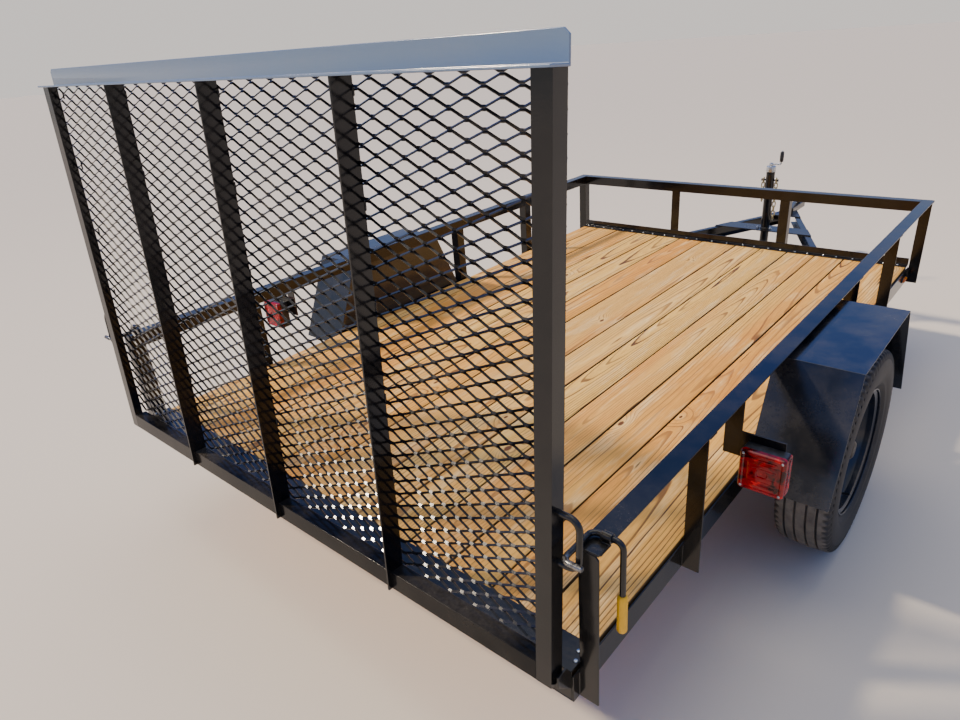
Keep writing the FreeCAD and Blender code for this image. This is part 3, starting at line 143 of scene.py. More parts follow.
FLOOR_HALF = 60.0
CORNERS = ((-1, -1), (1, -1), (1, 1), (-1, 1))
floor_mesh = bpy.data.meshes.new("floor")
floor_mesh.from_pydata([(x * FLOOR_HALF, y * FLOOR_HALF, 0.0) for x, y in CORNERS], [], [(0, 1, 2, 3)])
floor_mesh.materials.append(material("matt_floor_paint", floor_paint))
floor = bpy.data.objects.new("floor", floor_mesh)
bpy.context.scene.collection.objects.link(floor)
print("floor", 2 * FLOOR_HALF, "m wide")

# %% Room
world = bpy.data.worlds.new("studio")
bpy.context.scene.world = world
world.use_nodes = True
tree = world.node_tree
tree.nodes.clear()
height = add(tree, "SeparateXYZ", (add(tree, "TexCoord")["Generated"],))["Z"]
room = add(tree, "ValToRGB", (height,), stops=[
    (0.0, "#f6f0ec"), (0.09, "#eaebee"), (0.24, "#9cbbf6"), (0.42, "#5f90ff"), (0.70, "#7aa2f0"),
    (0.88, "#e4e6ea")])["Color"]
seen = add(tree, "LightPath")["Is Camera Ray"]
wall = add(tree, "Mix", {0: seen, 6: room, 7: "#faf2ec"}, data_type="RGBA")[2]
background = add(tree, "Background", {"Color": wall, "Strength": 0.9})
add(tree, "OutputWorld", {"Surface": background["Background"]})
print("room", world.name)

# %% Lamps of the studio
sun = bpy.data.objects.new("key_sun", bpy.data.lights.new("key_sun", "SUN"))
sun.data.energy = 4.7
sun.data.angle = math.radians(4)
sun.data.color = srgb("#ffedd2")[:3]
sun.rotation_euler = Vector((0.64, 0.42, -0.64)).to_track_quat("-Z", "Y").to_euler()
soft_box = bpy.data.objects.new("soft_box", bpy.data.lights.new("soft_box", "AREA"))
soft_box.data.shape = "SQUARE"
soft_box.data.size = 5.0
soft_box.data.energy = 150.0
soft_box.data.color = srgb("#fff8ee")[:3]
soft_box.location = (-0.5, -0.8, 6.5)
for lamp in (sun, soft_box):
    bpy.context.scene.collection.objects.link(lamp)
print("studio lamps 2")

# %% [markdown]
# ## Black alkyd enamel, sprayed on hot-rolled steel
#
# Trailer frames are sprayed with a thick black gloss enamel straight over rolled steel. It stays nearly black
# but mirrors the sky, and three things keep it from looking like glass: orange peel from the spray gun, the
# slow waves of rolled steel under it, and yard dust that settles on faces that look up. All three are noise
# at their real sizes. The paint mirrors little straight on and much at a slant, so tops turn sky blue while
# upright faces stay black. Fenders are pressed from cold-rolled sheet, flatter and brighter than an angle.
# The gate's cap has a grey-blue base colour, a painted reflection of the sky, and the gate's low rail,
# which grit scuffs, mirrors least.

# %% Black enamel
def enamel(tree, colour, dust_share, peel, mirror=0.4):
    """Sprayed enamel: dark base, orange peel, rolled waves and dust on what looks up."""
    place = add(tree, "TexCoord")["Object"]
    waves, orange_peel, cloud, specks = [
        add(tree, "TexNoise", {
            "Vector": place, "Scale": 1 / size, "Detail": detail, "Roughness": rough})["Fac"]
        for size, detail, rough in [
            (60 * MM, 1.0, 0.5), (3.5 * MM, 0.0, 0.5), (220 * MM, 6.0, 0.62), (9 * MM, 3.0, 0.7)]]
    look_up = add(tree, "SeparateXYZ", (add(tree, "NewGeometry")["Normal"],))["Z"]
    dusty = add(tree, "MapRange", (look_up, -0.2, 0.9, 0.2, 1.0))[0]
    for mask in (add(tree, "MapRange", (cloud, 0.38, 0.78, 0.0, 1.0))[0],
                 add(tree, "MapRange", (specks, 0.3, 0.8, 0.45, 1.0))[0]):
        dusty = add(tree, "Math", (dusty, mask), operation="MULTIPLY")[0]
    film = add(tree, "Math", (dusty, dust_share), operation="MULTIPLY")[0]
    return {"Base Color": add(tree, "Mix", {0: film, 6: colour, 7: "#8d8373"}, data_type="RGBA")[2],
            "Roughness": add(tree, "MapRange", (dusty, 0.0, 1.0, 0.13, 0.42))[0],
            "IOR": 1.52, "Specular IOR Level": mirror,
            "Relief": [(waves, 0.35, 0.9 * MM), (orange_peel, peel, 0.12 * MM)]}


BLACK_GLOSS = ("#08080a", 0.16, 0.2)
black_enamel = material("black_alkyd_enamel", enamel, *BLACK_GLOSS)
sheet_enamel = material("black_enamel_on_sheet", enamel, "#12151b", 0.3, 0.1, 0.62)
scuffed_enamel = material("scuffed_black_enamel", enamel, "#0b0b0d", 0.3, 0.4, 0.12)
# The cap's grey-blue base colour is a painted reflection of the sky.
sky_reflection_enamel = material("black_enamel_with_painted_sky", enamel, "#62768f", 0.4, 0.3, 1.0)
rim_enamel = material("dark_grey_wheel_enamel", enamel, "#20252e", 0.25, 0.15)
print("enamel nodes", len(black_enamel.node_tree.nodes))

# %% [markdown]
# ## Pressure-treated southern pine
#
# Each board is sawn lengthwise from a log, so its top cuts across the growth rings: near the log's middle
# the rings run as straight lines, and where the saw leaves the middle they open into long arches. The board
# meshes carry a vector called log, the place of each point measured from the heart of its own log, and the
# rings are simply the distance from that heart, folded into pale early wood, a brown band of late wood and
# the thin dark line where its growth stops. Fast-grown pine has such a line every 7 to 12 mm, one year's
# stronger than the next, with fainter rings between. Knots are cells of a Voronoi pattern that also push the
# rings aside, and each board takes its own tint. The sawn sides of the boards are painted dark brown, as
# painted shade in the gaps between the boards with some dirt, which keeps the gaps dark.

# %% Treated pine
RING_NARROW = 7.0 * MM
RING_SPREAD = 5.0 * MM
RING_WANDER = 26 * MM
KNOT_PUSH = 24 * MM
KNOT_SHARE = 0.16


def pine(tree):
    """Sawn pine boards: rings, streaks, knots and drying checks, each board from its own log."""
    # Three stretched copies of the log's space, for streaks, for fibres and for knots.
    log = add(tree, "Attribute", attribute_name="log")["Vector"]
    own = add(tree, "NewGeometry")["Random Per Island"]
    shift = add(tree, "VectorMath", {0: (31.0, 0.0, 17.0), "Scale": own}, operation="SCALE")["Vector"]
    here = add(tree, "VectorMath", (log, shift), operation="ADD")["Vector"]
    stretched, fibres, knot_place = [
        add(tree, "VectorMath", (here, stretch), operation="MULTIPLY")["Vector"]
        for stretch in [(1.0, 0.10, 1.0), (1.0, 0.02, 1.0), (5.2, 2.6, 0.0)]]
    wander, streak, blotch, fine, cracks = [
        add(tree, "TexNoise", {"Vector": place, "Scale": scale, "Detail": detail, "Roughness": rough})["Fac"]
        for place, scale, detail, rough in [
            (stretched, 9.0, 3.0, 0.5), (stretched, 26.0, 4.0, 0.6), (stretched, 4.5, 2.0, 0.5),
            (fibres, 420.0, 2.0, 0.6), (fibres, 55.0, 2.0, 0.5)]]

    # Knots: some of the pattern's cells, each of its own size.
    knots = add(tree, "TexVoronoi", {"Vector": knot_place, "Scale": 1.0}, voronoi_dimensions="2D")
    luck = add(tree, "SeparateColor", (knots["Color"],))
    is_knot = add(tree, "Math", (luck["Red"], 1 - KNOT_SHARE), operation="GREATER_THAN")[0]
    knot_size = add(tree, "Math", (luck["Green"], 0.9, 0.45), operation="MULTIPLY_ADD")[0]
    knot_reach = add(tree, "Math", (knots["Distance"], knot_size), operation="DIVIDE")[0]
    near = add(tree, "MapRange", (knots["Distance"], 0.0, 0.3, 1.0, 0.0),
               interpolation_type="SMOOTHERSTEP")[0]

    # Rings: the distance from the heart, swayed and pushed by knots, counted in years.
    in_section = add(tree, "VectorMath", (log, (1.0, 0.0, 1.0)), operation="MULTIPLY")["Vector"]
    radius = add(tree, "VectorMath", (in_section,), operation="LENGTH")["Value"]
    sway = add(tree, "Math", (wander, 0.5), operation="SUBTRACT")[0]
    pushed = add(tree, "Math", (near, is_knot), operation="MULTIPLY")[0]
    for share, most in ((sway, RING_WANDER), (pushed, KNOT_PUSH)):
        radius = add(tree, "Math", (share, most, radius), operation="MULTIPLY_ADD")[0]
    growth = add(tree, "Math", (own, 7.3), operation="MULTIPLY")[0]
    growth = add(tree, "Math", (growth,), operation="FRACT")[0]
    ring_width = add(tree, "Math", (growth, RING_SPREAD, RING_NARROW), operation="MULTIPLY_ADD")[0]
    year = add(tree, "Math", (radius, ring_width), operation="DIVIDE")[0]
    year = add(tree, "Math", (own, 60.0, year), operation="MULTIPLY_ADD")[0]
    ring = add(tree, "Math", (year,), operation="FRACT")[0]
    whole_year = add(tree, "Math", (year,), operation="FLOOR")[0]
    season = add(tree, "TexWhiteNoise", {"W": whole_year}, noise_dimensions="1D")["Value"]
    season = add(tree, "Math", (season, 0.65, 0.5), operation="MULTIPLY_ADD")[0]
    late = add(tree, "ValToRGB", (ring,), stops=[
        (0.0, 0.0), (0.45, 0.05), (0.78, 0.35), (0.90, 1.0), (0.97, 0.9), (1.0, 0.0)])["Color"]
    late = add(tree, "Math", (late, season), operation="MULTIPLY")[0]
    thin = add(tree, "ValToRGB", (ring,), stops=[
        (0.0, 0.0), (0.73, 0.0), (0.83, 1.0), (0.96, 1.0), (1.0, 0.0)])["Color"]
    minor = add(tree, "Math", (year, 3.0), operation="MULTIPLY")[0]
    minor = add(tree, "Math", (minor,), operation="FRACT")[0]

    # How much of each colour lies over the early wood. Ranges are: from low, from high, to low, to high.
    ragged = add(tree, "Math", (streak, 0.05, knot_reach), operation="MULTIPLY_ADD")[0]
    # Faces that look sideways, the boards' sawn sides, get dark brown: painted shade in the gaps, with some
    # dirt.
    sideways = add(tree, "SeparateXYZ", (add(tree, "NewGeometry")["Normal"],))["X"]
    sideways = add(tree, "Math", (sideways,), operation="ABSOLUTE")[0]
    warm, pale, ring_share, strong, line_share, fibre, halo, core, checks, edge = [
        add(tree, "MapRange", mask)[0] for mask in [
            (blotch, 0.45, 0.72, 0.0, 0.65), (streak, 0.5, 0.72, 0.0, 0.75), (streak, 0.3, 0.7, 0.35, 0.95),
            (own, 0.0, 1.0, 0.85, 1.1), (blotch, 0.35, 0.6, 1.0, 0.4), (fine, 0.4, 0.68, 0.0, 0.5),
            (knot_reach, 0.05, 0.16, 0.32, 0.0), (ragged, 0.058, 0.072, 1.0, 0.0),
            (cracks, 0.735, 0.75, 0.0, 1.0), (sideways, 0.6, 0.95, 0.0, 0.86)]]
    late_share, minor_share, line, strength, halo, core = [
        add(tree, "Math", pair, operation="MULTIPLY")[0] for pair in [
            (late, ring_share), (minor, 0.16), (thin, season), (strong, line_share), (halo, is_knot),
            (core, is_knot)]]
    line = add(tree, "Math", (line, strength), operation="MULTIPLY")[0]
    knot_rings = add(tree, "Math", (knots["Distance"], 60.0), operation="MULTIPLY")[0]
    knot_rings = add(tree, "Math", (knot_rings,), operation="FRACT")[0]
    knot_tone = add(tree, "Mix", {0: knot_rings, 6: "#7a4a22", 7: "#452711"}, data_type="RGBA")[2]

    tone = add(tree, "ValToRGB", (own,), stops=[
        (0.0, "#f2bd5c"), (0.3, "#e8a546"), (0.55, "#f6d078"), (0.8, "#eab052"), (1.0, "#f3c768")])["Color"]
    for share, colour in [
            (warm, "#dc8426"), (pale, "#ffe3a4"), (late_share, "#a15c18"), (minor_share, "#a15c18"),
            (line, "#3a2713"), (fibre, "#b3762c"), (halo, "#f8d68c"), (core, knot_tone), (checks, "#3b2513"),
            (edge, "#2b1d10")]:
        tone = add(tree, "Mix", {0: share, 6: tone, 7: colour}, data_type="RGBA")[2]
    return {"Base Color": tone, "Roughness": add(tree, "MapRange", (late, 0.0, 1.0, 0.72, 0.5))[0],
            "IOR": 1.47, "Specular IOR Level": 0.35,
            "Relief": [(late, 0.35, 0.35 * MM), (fine, 0.35, 0.25 * MM), (checks, 1.0, -1.5 * MM)]}


treated_pine = material("pressure_treated_pine", pine)
print("pine nodes", len(treated_pine.node_tree.nodes))

# %% [markdown]
# ## Rubber, zinc, bare steel and plastics
#
# Tyre rubber is filled with carbon black: dark grey, dull, a little glossier on the moulded sidewall. Zinc
# plate is a bright metal with a faint yellow or blue film. Lamp lenses are clear acrylic dyed red or amber,
# moulded with small prisms inside. The housings are black ABS with a fine grain, and the grips are soft PVC
# that the warm rod was dipped in.

# %% Tyre rubber
tyre_low, tyre_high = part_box("tyre_right")
AXLE_PLACE = (tyre_low + tyre_high) / 2
TREAD_FROM, TREAD_FULL = 336 * MM, 341 * MM


def rubber(tree):
    """Carbon-black rubber with yard dust rubbed into it, most of it on the tread."""
    place = add(tree, "TexCoord")["Object"]
    dust, grain = [
        add(tree, "TexNoise", {
            "Vector": place, "Scale": 1 / size, "Detail": detail, "Roughness": rough})["Fac"]
        for size, detail, rough in [(45 * MM, 5.0, 0.65), (1.6 * MM, 2.0, 0.5)]]
    from_axle = add(tree, "VectorMath", (place, (0.0, 1.0, 1.0), (0.0, -AXLE_PLACE.y, -AXLE_PLACE.z)),
                    operation="MULTIPLY_ADD")["Vector"]
    reach = add(tree, "VectorMath", (from_axle,), operation="LENGTH")["Value"]
    tread = add(tree, "MapRange", (reach, TREAD_FROM, TREAD_FULL, 0.0, 1.0))[0]
    film = add(tree, "MapRange", (dust, 0.35, 0.8, 0.0, 0.17))[0]
    share = add(tree, "Math", (tread, dust, film), operation="MULTIPLY_ADD")[0]
    return {"Base Color": add(tree, "Mix", {0: share, 6: "#101012", 7: "#857c6f"}, data_type="RGBA")[2],
            "Roughness": add(tree, "MapRange", (dust, 0.0, 1.0, 0.5, 0.85))[0], "IOR": 1.52,
            "Relief": [(grain, 0.3, 0.15 * MM)]}


tyre_rubber = material("carbon_black_rubber", rubber)
print("rubber nodes", len(tyre_rubber.node_tree.nodes))


# %% Zinc plate and bare steel
def patchy(tree, colour, other, patch, grain, mask, strength, depth):
    """Two tones in patches over a fine grain. Patch and grain are a size, a detail and a roughness, and
    mask turns the patches into the second tone's share: from low, from high, to low, to high."""
    place = add(tree, "TexCoord")["Object"]
    patches, skin = [
        add(tree, "TexNoise", {
            "Vector": place, "Scale": 1 / size, "Detail": detail, "Roughness": rough})["Fac"]
        for size, detail, rough in (patch, grain)]
    share = add(tree, "MapRange", (patches, *mask))[0]
    return patches, {"Base Color": add(tree, "Mix", {0: share, 6: colour, 7: other}, data_type="RGBA")[2],
                     "Relief": [(skin, strength, depth)]}


def metal(tree, light, dark, patch, low, high):
    """A bare or plated metal whose film varies in patches, low and high being its roughness."""
    patches, values = patchy(tree, light, dark, (patch, 4.0, 0.6), (1.2 * MM, 2.0, 0.5),
                             (0.3, 0.72, 0.0, 1.0), 0.2, 0.06 * MM)
    return {**values, "Metallic": 1.0, "Roughness": add(tree, "MapRange", (patches, 0.3, 0.7, low, high))[0]}


clear_zinc = material("clear_zinc_plate", metal, "#cfd3d6", "#9fa3a6", 18 * MM, 0.22, 0.42)
yellow_zinc = material("yellow_zinc_plate", metal, "#d8c58a", "#a9a08c", 12 * MM, 0.25, 0.45)
# The hub and dust cap are given a dark steel tone, much darker than bare turned steel.
dark_turned_steel = material("dark_toned_turned_steel", metal, "#6b6863", "#35312c", 22 * MM, 0.35, 0.6)
print("metals", clear_zinc.name, yellow_zinc.name, dark_turned_steel.name)


# %% Lamp lenses
PRISM = 3.2 * MM


def lens(tree, bright, colour, deep):
    """Dyed acrylic over small moulded prisms: deep colour, with painted hot glints that stand for the
    reflector behind it.
    """
    place = add(tree, "TexCoord")["Object"]
    cells = add(tree, "TexVoronoi", {"Vector": place, "Scale": 1 / PRISM, "Randomness": 0.0},
                distance="CHEBYCHEV")["Distance"]
    # This noise mottles the lens from its deep dye to painted glints of the reflector and bulb behind it.
    painted_glint_noise = add(tree, "TexNoise", {"Vector": place, "Scale": 1 / (26 * MM), "Detail": 1.5, "Distortion": 1.2})
    body = add(tree, "ValToRGB", (painted_glint_noise["Fac"],), stops=[
        (0.32, deep), (0.5, colour), (0.62, colour), (0.7, bright)])["Color"]
    prisms = add(tree, "MapRange", (cells, 0.25, 0.5, 0.0, 0.5))[0]
    return {"Base Color": add(tree, "Mix", {0: prisms, 6: body, 7: deep}, data_type="RGBA")[2],
            "Roughness": 0.12, "IOR": 1.49, "Specular IOR Level": 0.4,
            "Relief": [(cells, 0.2, 0.3 * MM)]}


red_lens = material("red_acrylic_lens", lens, "#f6101c", "#a80310", "#360004")
amber_lens = material("amber_acrylic_lens", lens, "#ffb040", "#e87410", "#8a3200")
print("lenses", red_lens.name, amber_lens.name)


# %% Plastics
def plastic(tree, colour, worn, grain, roughness):
    """Moulded or dipped plastic with a fine grain and handling marks."""
    _, values = patchy(tree, colour, worn, (16 * MM, 5.0, 0.7), (grain, 1.0, 0.5), (0.5, 0.85, 0.0, 0.7),
                       0.3, 0.1 * MM)
    return {**values, "Roughness": roughness, "IOR": 1.5}


black_abs = material("black_abs_housing", plastic, "#17181a", "#54545a", 0.9 * MM, 0.38)
yellow_pvc = material("yellow_dipped_pvc", plastic, "#efb200", "#c79200", 2.5 * MM, 0.42)
print("materials", len(bpy.data.materials))

# %% [markdown]
# ## Rolled angles keep soft edges
#
# A sheared or rolled steel edge is never sharp: it has a radius of 1 to 3 mm that catches a thin line of
# light along every rail and post. Each steel node of the construction model keeps its form exactly, and a
# copy of it gets its edges rounded by a bevel, so the copy can stand for the node.

# %% Helpers for pieces
def piece_from(work, name):
    """A new object from a bmesh, with its faces turned outward."""
    bmesh.ops.recalc_face_normals(work, faces=work.faces)
    mesh = bpy.data.meshes.new(name)
    work.to_mesh(mesh)
    work.free()
    piece = bpy.data.objects.new(name, mesh)
    bpy.context.scene.collection.objects.link(piece)
    return piece


def smooth(piece, angle):
    """Shade a piece smooth, with hard edges above an angle in degrees."""
    piece.data.polygons.foreach_set("use_smooth", [True] * len(piece.data.polygons))
    piece.data.set_sharp_from_angle(angle=math.radians(angle))
    return piece


def dress(piece, finish, body, slot, *stands_for):
    """Give a piece its finish, the body it moves with and the nodes it stands for. slot is not used."""
    piece.data.materials.clear()
    piece.data.materials.append(finish)
    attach(piece, body)
    if stands_for:
        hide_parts(*stands_for)
    return piece


def make(work, name, angle, *dressing):
    """A piece from a bmesh, shaded smooth up to an angle and dressed."""
    return dress(smooth(piece_from(work, name), angle), *dressing)


# %% Soft edges
HARD_EDGE = 30


def soften(piece, edge, steps=2):
    """Round a piece's edges as rolling, shearing or moulding leaves them."""
    bevel = piece.modifiers.new("soft_edges", "BEVEL")
    bevel.width = edge
    bevel.segments = steps
    bevel.limit_method = "ANGLE"
    bevel.angle_limit = math.radians(HARD_EDGE)
    bevel.harden_normals = True


def clean_copy(node):
    """A node's own mesh with its triangles joined into whole faces again."""
    work = bmesh.new()
    work.from_mesh(nodes[node].data)
    bmesh.ops.remove_doubles(work, verts=work.verts, dist=0.01 * MM)
    bmesh.ops.dissolve_limit(work, angle_limit=math.radians(1.0), verts=work.verts, edges=work.edges)
    return work


# %% Steel of the frame, rails, gate and running gear
OTHER_FINISH = {"gate_cap": sky_reflection_enamel, "gate_rail": scuffed_enamel,
                "fender_left": sheet_enamel, "fender_right": sheet_enamel}
GATE_STEEL = ("gate_uprights", "gate_cap", "gate_rail")
ROLLED = {
    # Edge radius in mm of each node.
    "frame_side_left": 2.0, "frame_side_right": 2.0, "frame_front": 2.0, "frame_rear": 1.6,
    "frame_crossmembers": 1.5, "board_retainer": 1.5, "tongue_arm_left": 2.5, "tongue_arm_right": 2.5,
    "jack_plate": 1.2, "rail_left": 1.8, "rail_right": 1.8, "rail_front": 1.8, "posts_left": 1.6,
    "posts_right": 1.6, "posts_front": 1.6, "fender_left": 0.9, "fender_right": 0.9, "lamp_brackets": 1.0,
    "axle_beam": 2.0, "leaf_springs": 1.4, "spring_hangers": 1.2, "gate_hinge_pins": 1.2, "coupler": 2.5,
    "gate_uprights": 1.5, "gate_cap": 1.5, "gate_rail": 1.5}
for node, edge in ROLLED.items():
    steel = make(clean_copy(node), node + "_rolled", HARD_EDGE, OTHER_FINISH.get(node, black_enamel),
                 "gate" if node in GATE_STEEL else "chassis", "gloss_black_paint", node)
    soften(steel, edge * MM)
print("rolled pieces", len(ROLLED))

# %% [markdown]
# ## Deck boards
#
# The thirteen boards lie lengthwise. Planed two-inch stock has its long edges eased to about 3 mm, and no
# board is quite flat: each crowns, cups and wanders by a millimetre or two. Building each board as a strip
# of cross sections lets the sections drift slowly along the length. Each board also draws its own log: how
# far its top lies from the heart and how the heart wanders, which is what turns lines into arches.

# %% Islands of a node and rings of a skin
def islands(node):
    """The boxes (low corner, high corner) of a node's separate solids, from low x to high x."""
    work = clean_copy(node)
    found = []
    unseen = set(work.verts)
    while unseen:
        group = [unseen.pop()]
        for vertex in group:
            near = {other for edge in vertex.link_edges for other in edge.verts} & unseen
            unseen -= near
            group += near
        axes = list(zip(*(vertex.co for vertex in group)))
        found.append((Vector([min(axis) for axis in axes]), Vector([max(axis) for axis in axes])))
    work.free()
    return sorted(found, key=lambda box: tuple(round(v, 4) for v in box[0]))


def join_rings(work, rings, loop=False):
    """Join rings of points into a skin. An open run of rings gets an end face at each end."""
    pairs = list(zip(rings, rings[1:])) + ([(rings[-1], rings[0])] if loop else [])
    for before, after in pairs:
        for corners in zip(before, before[1:] + before[:1], after[1:] + after[:1], after):
            work.faces.new(corners)
    if not loop:
        work.faces.new(rings[0][::-1])
        work.faces.new(rings[-1])


# %% Boards
EASE = 3.0 * MM
EASE_CORNER = EASE * (1 - math.cos(math.pi / 4))
BOARD_STEPS = 44
BOARD_WANDER = 0.5 * MM
BELOW_TOP = 0.2 * MM
SHRINK = 0.995
# Waves along a board, in radians per metre: of its crown, its sway and the heart of its log.
CROWN_WAVE, SWAY_WAVE, HEART_SIDE_WAVE, HEART_DEEP_WAVE = 2.1, 1.3, 0.9, 1.7
wood_luck = random.Random(11)
boards = bmesh.new()
log_places = []
for low, high in islands("deck_boards"):
    half = (high.x - low.x) / 2
    middle = (low.x + high.x) / 2
    heart_side = wood_luck.uniform(-0.9, 0.9) * half
    heart_deep = wood_luck.choice([0.035, 0.05, 0.07, 0.09]) + wood_luck.uniform(0.0, 0.015)
    side_drift, deep_drift = wood_luck.uniform(0.008, 0.03), wood_luck.uniform(0.012, 0.035)
    side_turn, deep_turn = wood_luck.uniform(0, math.tau), wood_luck.uniform(0, math.tau)
    cup = wood_luck.uniform(-0.8, 0.2) * MM
    right = [(half, low.z - high.z), (half, -EASE), (half - EASE_CORNER, -EASE_CORNER), (half - EASE, 0.0),
             (half * 0.5, cup * 0.5)]
    outline = [(-half, low.z - high.z), *right, (0.0, cup), *((-x, z) for x, z in right[:0:-1])]
    sections = []
    for step in range(BOARD_STEPS + 1):
        along = low.y + (high.y - low.y) * step / BOARD_STEPS
        sink = BOARD_WANDER * (1 + math.sin(along * CROWN_WAVE + side_turn))
        sway = BOARD_WANDER * math.sin(along * SWAY_WAVE + deep_turn)
        heart_x = heart_side + side_drift * math.sin(along * HEART_SIDE_WAVE + side_turn)
        heart_z = heart_deep + deep_drift * math.sin(along * HEART_DEEP_WAVE + deep_turn)
        section = []
        for across, up in outline:
            level = high.z - BELOW_TOP + up - (sink if up > -EASE * 1.5 else 0.0)
            section.append(boards.verts.new((middle + across * SHRINK + sway, along, level)))
            log_places.append((across - heart_x, along, up + heart_z))
        sections.append(section)
    join_rings(boards, sections)
deck = make(boards, "deck_planks", 50, treated_pine, "chassis", "treated_pine", "deck_boards")
log = deck.data.attributes.new("log", "FLOAT_VECTOR", "POINT")
log.data.foreach_set("vector", [value for place in log_places for value in place])
print("board faces", len(deck.data.polygons))

# %% [markdown]
# ## Expanded metal
#
# Expanded metal is one sheet, slit in staggered rows and pulled open. Each strand is a flat ribbon that
# climbs to join the strand above and dips to join the strand below, and the pull twists it out of the
# sheet's plane, which gives the mesh its glints. So each row here is one zig-zag ribbon with a tilted
# section, and every second row is shifted by half a diamond. The diamonds are 76 by 34 mm with 5.4 mm
# strands. The twist is also why strands that fall to the right look thick from this side and the others
# thin.

# %% The gate's leaned plane
GATE_LEAN = math.radians(3.0)
UP = Vector((0, math.sin(GATE_LEAN), math.cos(GATE_LEAN)))
FRONT = Vector((0, math.cos(GATE_LEAN), -math.sin(GATE_LEAN)))


def leaned(node):
    """A node's low and high end up the leaned plane, then its back and face across that plane."""
    reaches = [[vertex.co.dot(axis) for vertex in nodes[node].data.vertices] for axis in (UP, FRONT)]
    return [pick(reach) for reach in reaches for pick in (min, max)]


def on_gate(x, up, out):
    """The place across the gate, up its leaned plane and out from it."""
    return Vector((x, 0, 0)) + UP * up + FRONT * out


# %% Mesh strands
LONG_WAY = 76.2 * MM
SHORT_WAY = 33.9 * MM
STRAND = 5.4 * MM
STRAND_THICK = 2.6 * MM
STRAND_TILT = math.radians(52)
BOND = 5.0 * MM
OVERLAP = 0.9
WEAVE = 1.1 * MM

sheet_low, sheet_high, sheet_back, sheet_face = leaned("gate_mesh")
sheet_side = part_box("gate_mesh")[1].x
sheet_middle = (sheet_back + sheet_face) / 2
climb = SHORT_WAY / 4 - STRAND / 2 * OVERLAP
half_long = LONG_WAY / 2
strands = bmesh.new()
row_count = int((sheet_high - sheet_low) / (SHORT_WAY / 2))
turn_count = int(2 * sheet_side / half_long)
section = []
for a, b in CORNERS:
    across, out = a * STRAND / 2, b * STRAND_THICK / 2
    section.append((across * math.cos(STRAND_TILT) - out * math.sin(STRAND_TILT),
                    across * math.sin(STRAND_TILT) + out * math.cos(STRAND_TILT)))
for row in range(1, row_count):
    rings = []
    for turn in range(turn_count + 1):
        rise = 1 if (turn + row) % 2 else -1
        level = sheet_low + row * SHORT_WAY / 2 + rise * climb
        for side in (-1, 1):
            x = (turn - turn_count / 2) * half_long + side * BOND
            x = max(-sheet_side, min(sheet_side, x))
            rings.append([strands.verts.new(on_gate(x, level + up, sheet_middle + out + rise * WEAVE))
                          for up, out in section])
    join_rings(strands, rings)
mesh_panel = dress(piece_from(strands, "expanded_metal"), black_enamel, "gate", "gloss_black_paint",
                   "gate_mesh")
print("mesh rows", row_count, "faces", len(mesh_panel.data.polygons))

# %% [markdown]
# ## Bent round bar
#
# The staples on the gate and the latch rods are round bar bent cold: straight runs with a bend radius a
# little over twice the bar. A small ring of points carried along the path without twisting makes the bar,
# and a domed last ring gives each end its sawn and deburred look. Where a latch rod's hook rubs in its
# staple, its enamel has gone and the steel shines.

# %% Round bars
HEX_FLATS = 0.892
SIXTH = math.pi / 3


def bent_path(points, bend, steps=7):
    """The points of a path with its corners turned on arcs."""
    points = [Vector(point) for point in points]
    path = [points[0]]
    for before, corner, after in zip(points, points[1:], points[2:]):
        back, ahead = (before - corner).normalized(), (after - corner).normalized()
        angle = back.angle(ahead)
        reach = min(bend / math.tan(angle / 2), (before - corner).length / 2, (after - corner).length / 2)
        radius = reach * math.tan(angle / 2)
        middle = corner + (back + ahead).normalized() * (radius / math.sin(angle / 2))
        first, last = [corner + way * reach - middle for way in (back, ahead)]
        axis, sweep = first.cross(last), first.angle(last)
        path += [middle + Matrix.Rotation(sweep * step / steps, 3, axis) @ first for step in range(steps + 1)]
    return path + [points[-1]]


def add_rings(work, stations, sides, loop=False):
    """Skin round rings. Each has its middle, two directions across it, its radius and, if cut so, "hex"."""
    rings = []
    for middle, side_a, side_b, radius, *cut in stations:
        rings.append([])
        for turn in (math.tau * k / sides for k in range(sides)):
            flat = HEX_FLATS / math.cos((turn + SIXTH / 2) % SIXTH - SIXTH / 2) if cut else 1.0
            direction = side_a * math.cos(turn) + side_b * math.sin(turn)
            rings[-1].append(work.verts.new(middle + direction * radius * min(1.0, flat)))
    join_rings(work, rings, loop)


def add_bar(work, path, radius, sides=12, loop=False, dome=0.35):
    """Carry a ring along a path without twist. Open ends get a small dome."""
    before = [path[-1] if loop else path[0]] + path[:-1]
    after = path[1:] + [path[0] if loop else path[-1]]
    tangents = [(ahead - behind).normalized() for behind, ahead in zip(before, after)]
    normal = tangents[0].orthogonal().normalized()
    stations = []
    for index, (place, tangent) in enumerate(zip(path, tangents)):
        normal = (normal - tangent * normal.dot(tangent)).normalized()
        spots = [(place, 1.0)]
        if not loop and index in (0, len(path) - 1):
            way = -1 if index else 1
            spots = [(place, 1 - dome), (place + tangent * way * radius * dome, 1.0)][::way]
        stations += [(spot, normal, tangent.cross(normal), radius * share) for spot, share in spots]
    add_rings(work, stations, sides, loop)


def make_bars(paths, radius, name, *dressing, sides=12, loop=False):
    """One piece of round bars along several paths."""
    work = bmesh.new()
    for path in paths:
        add_bar(work, path, radius, sides, loop)
    return make(work, name, 40, *dressing)


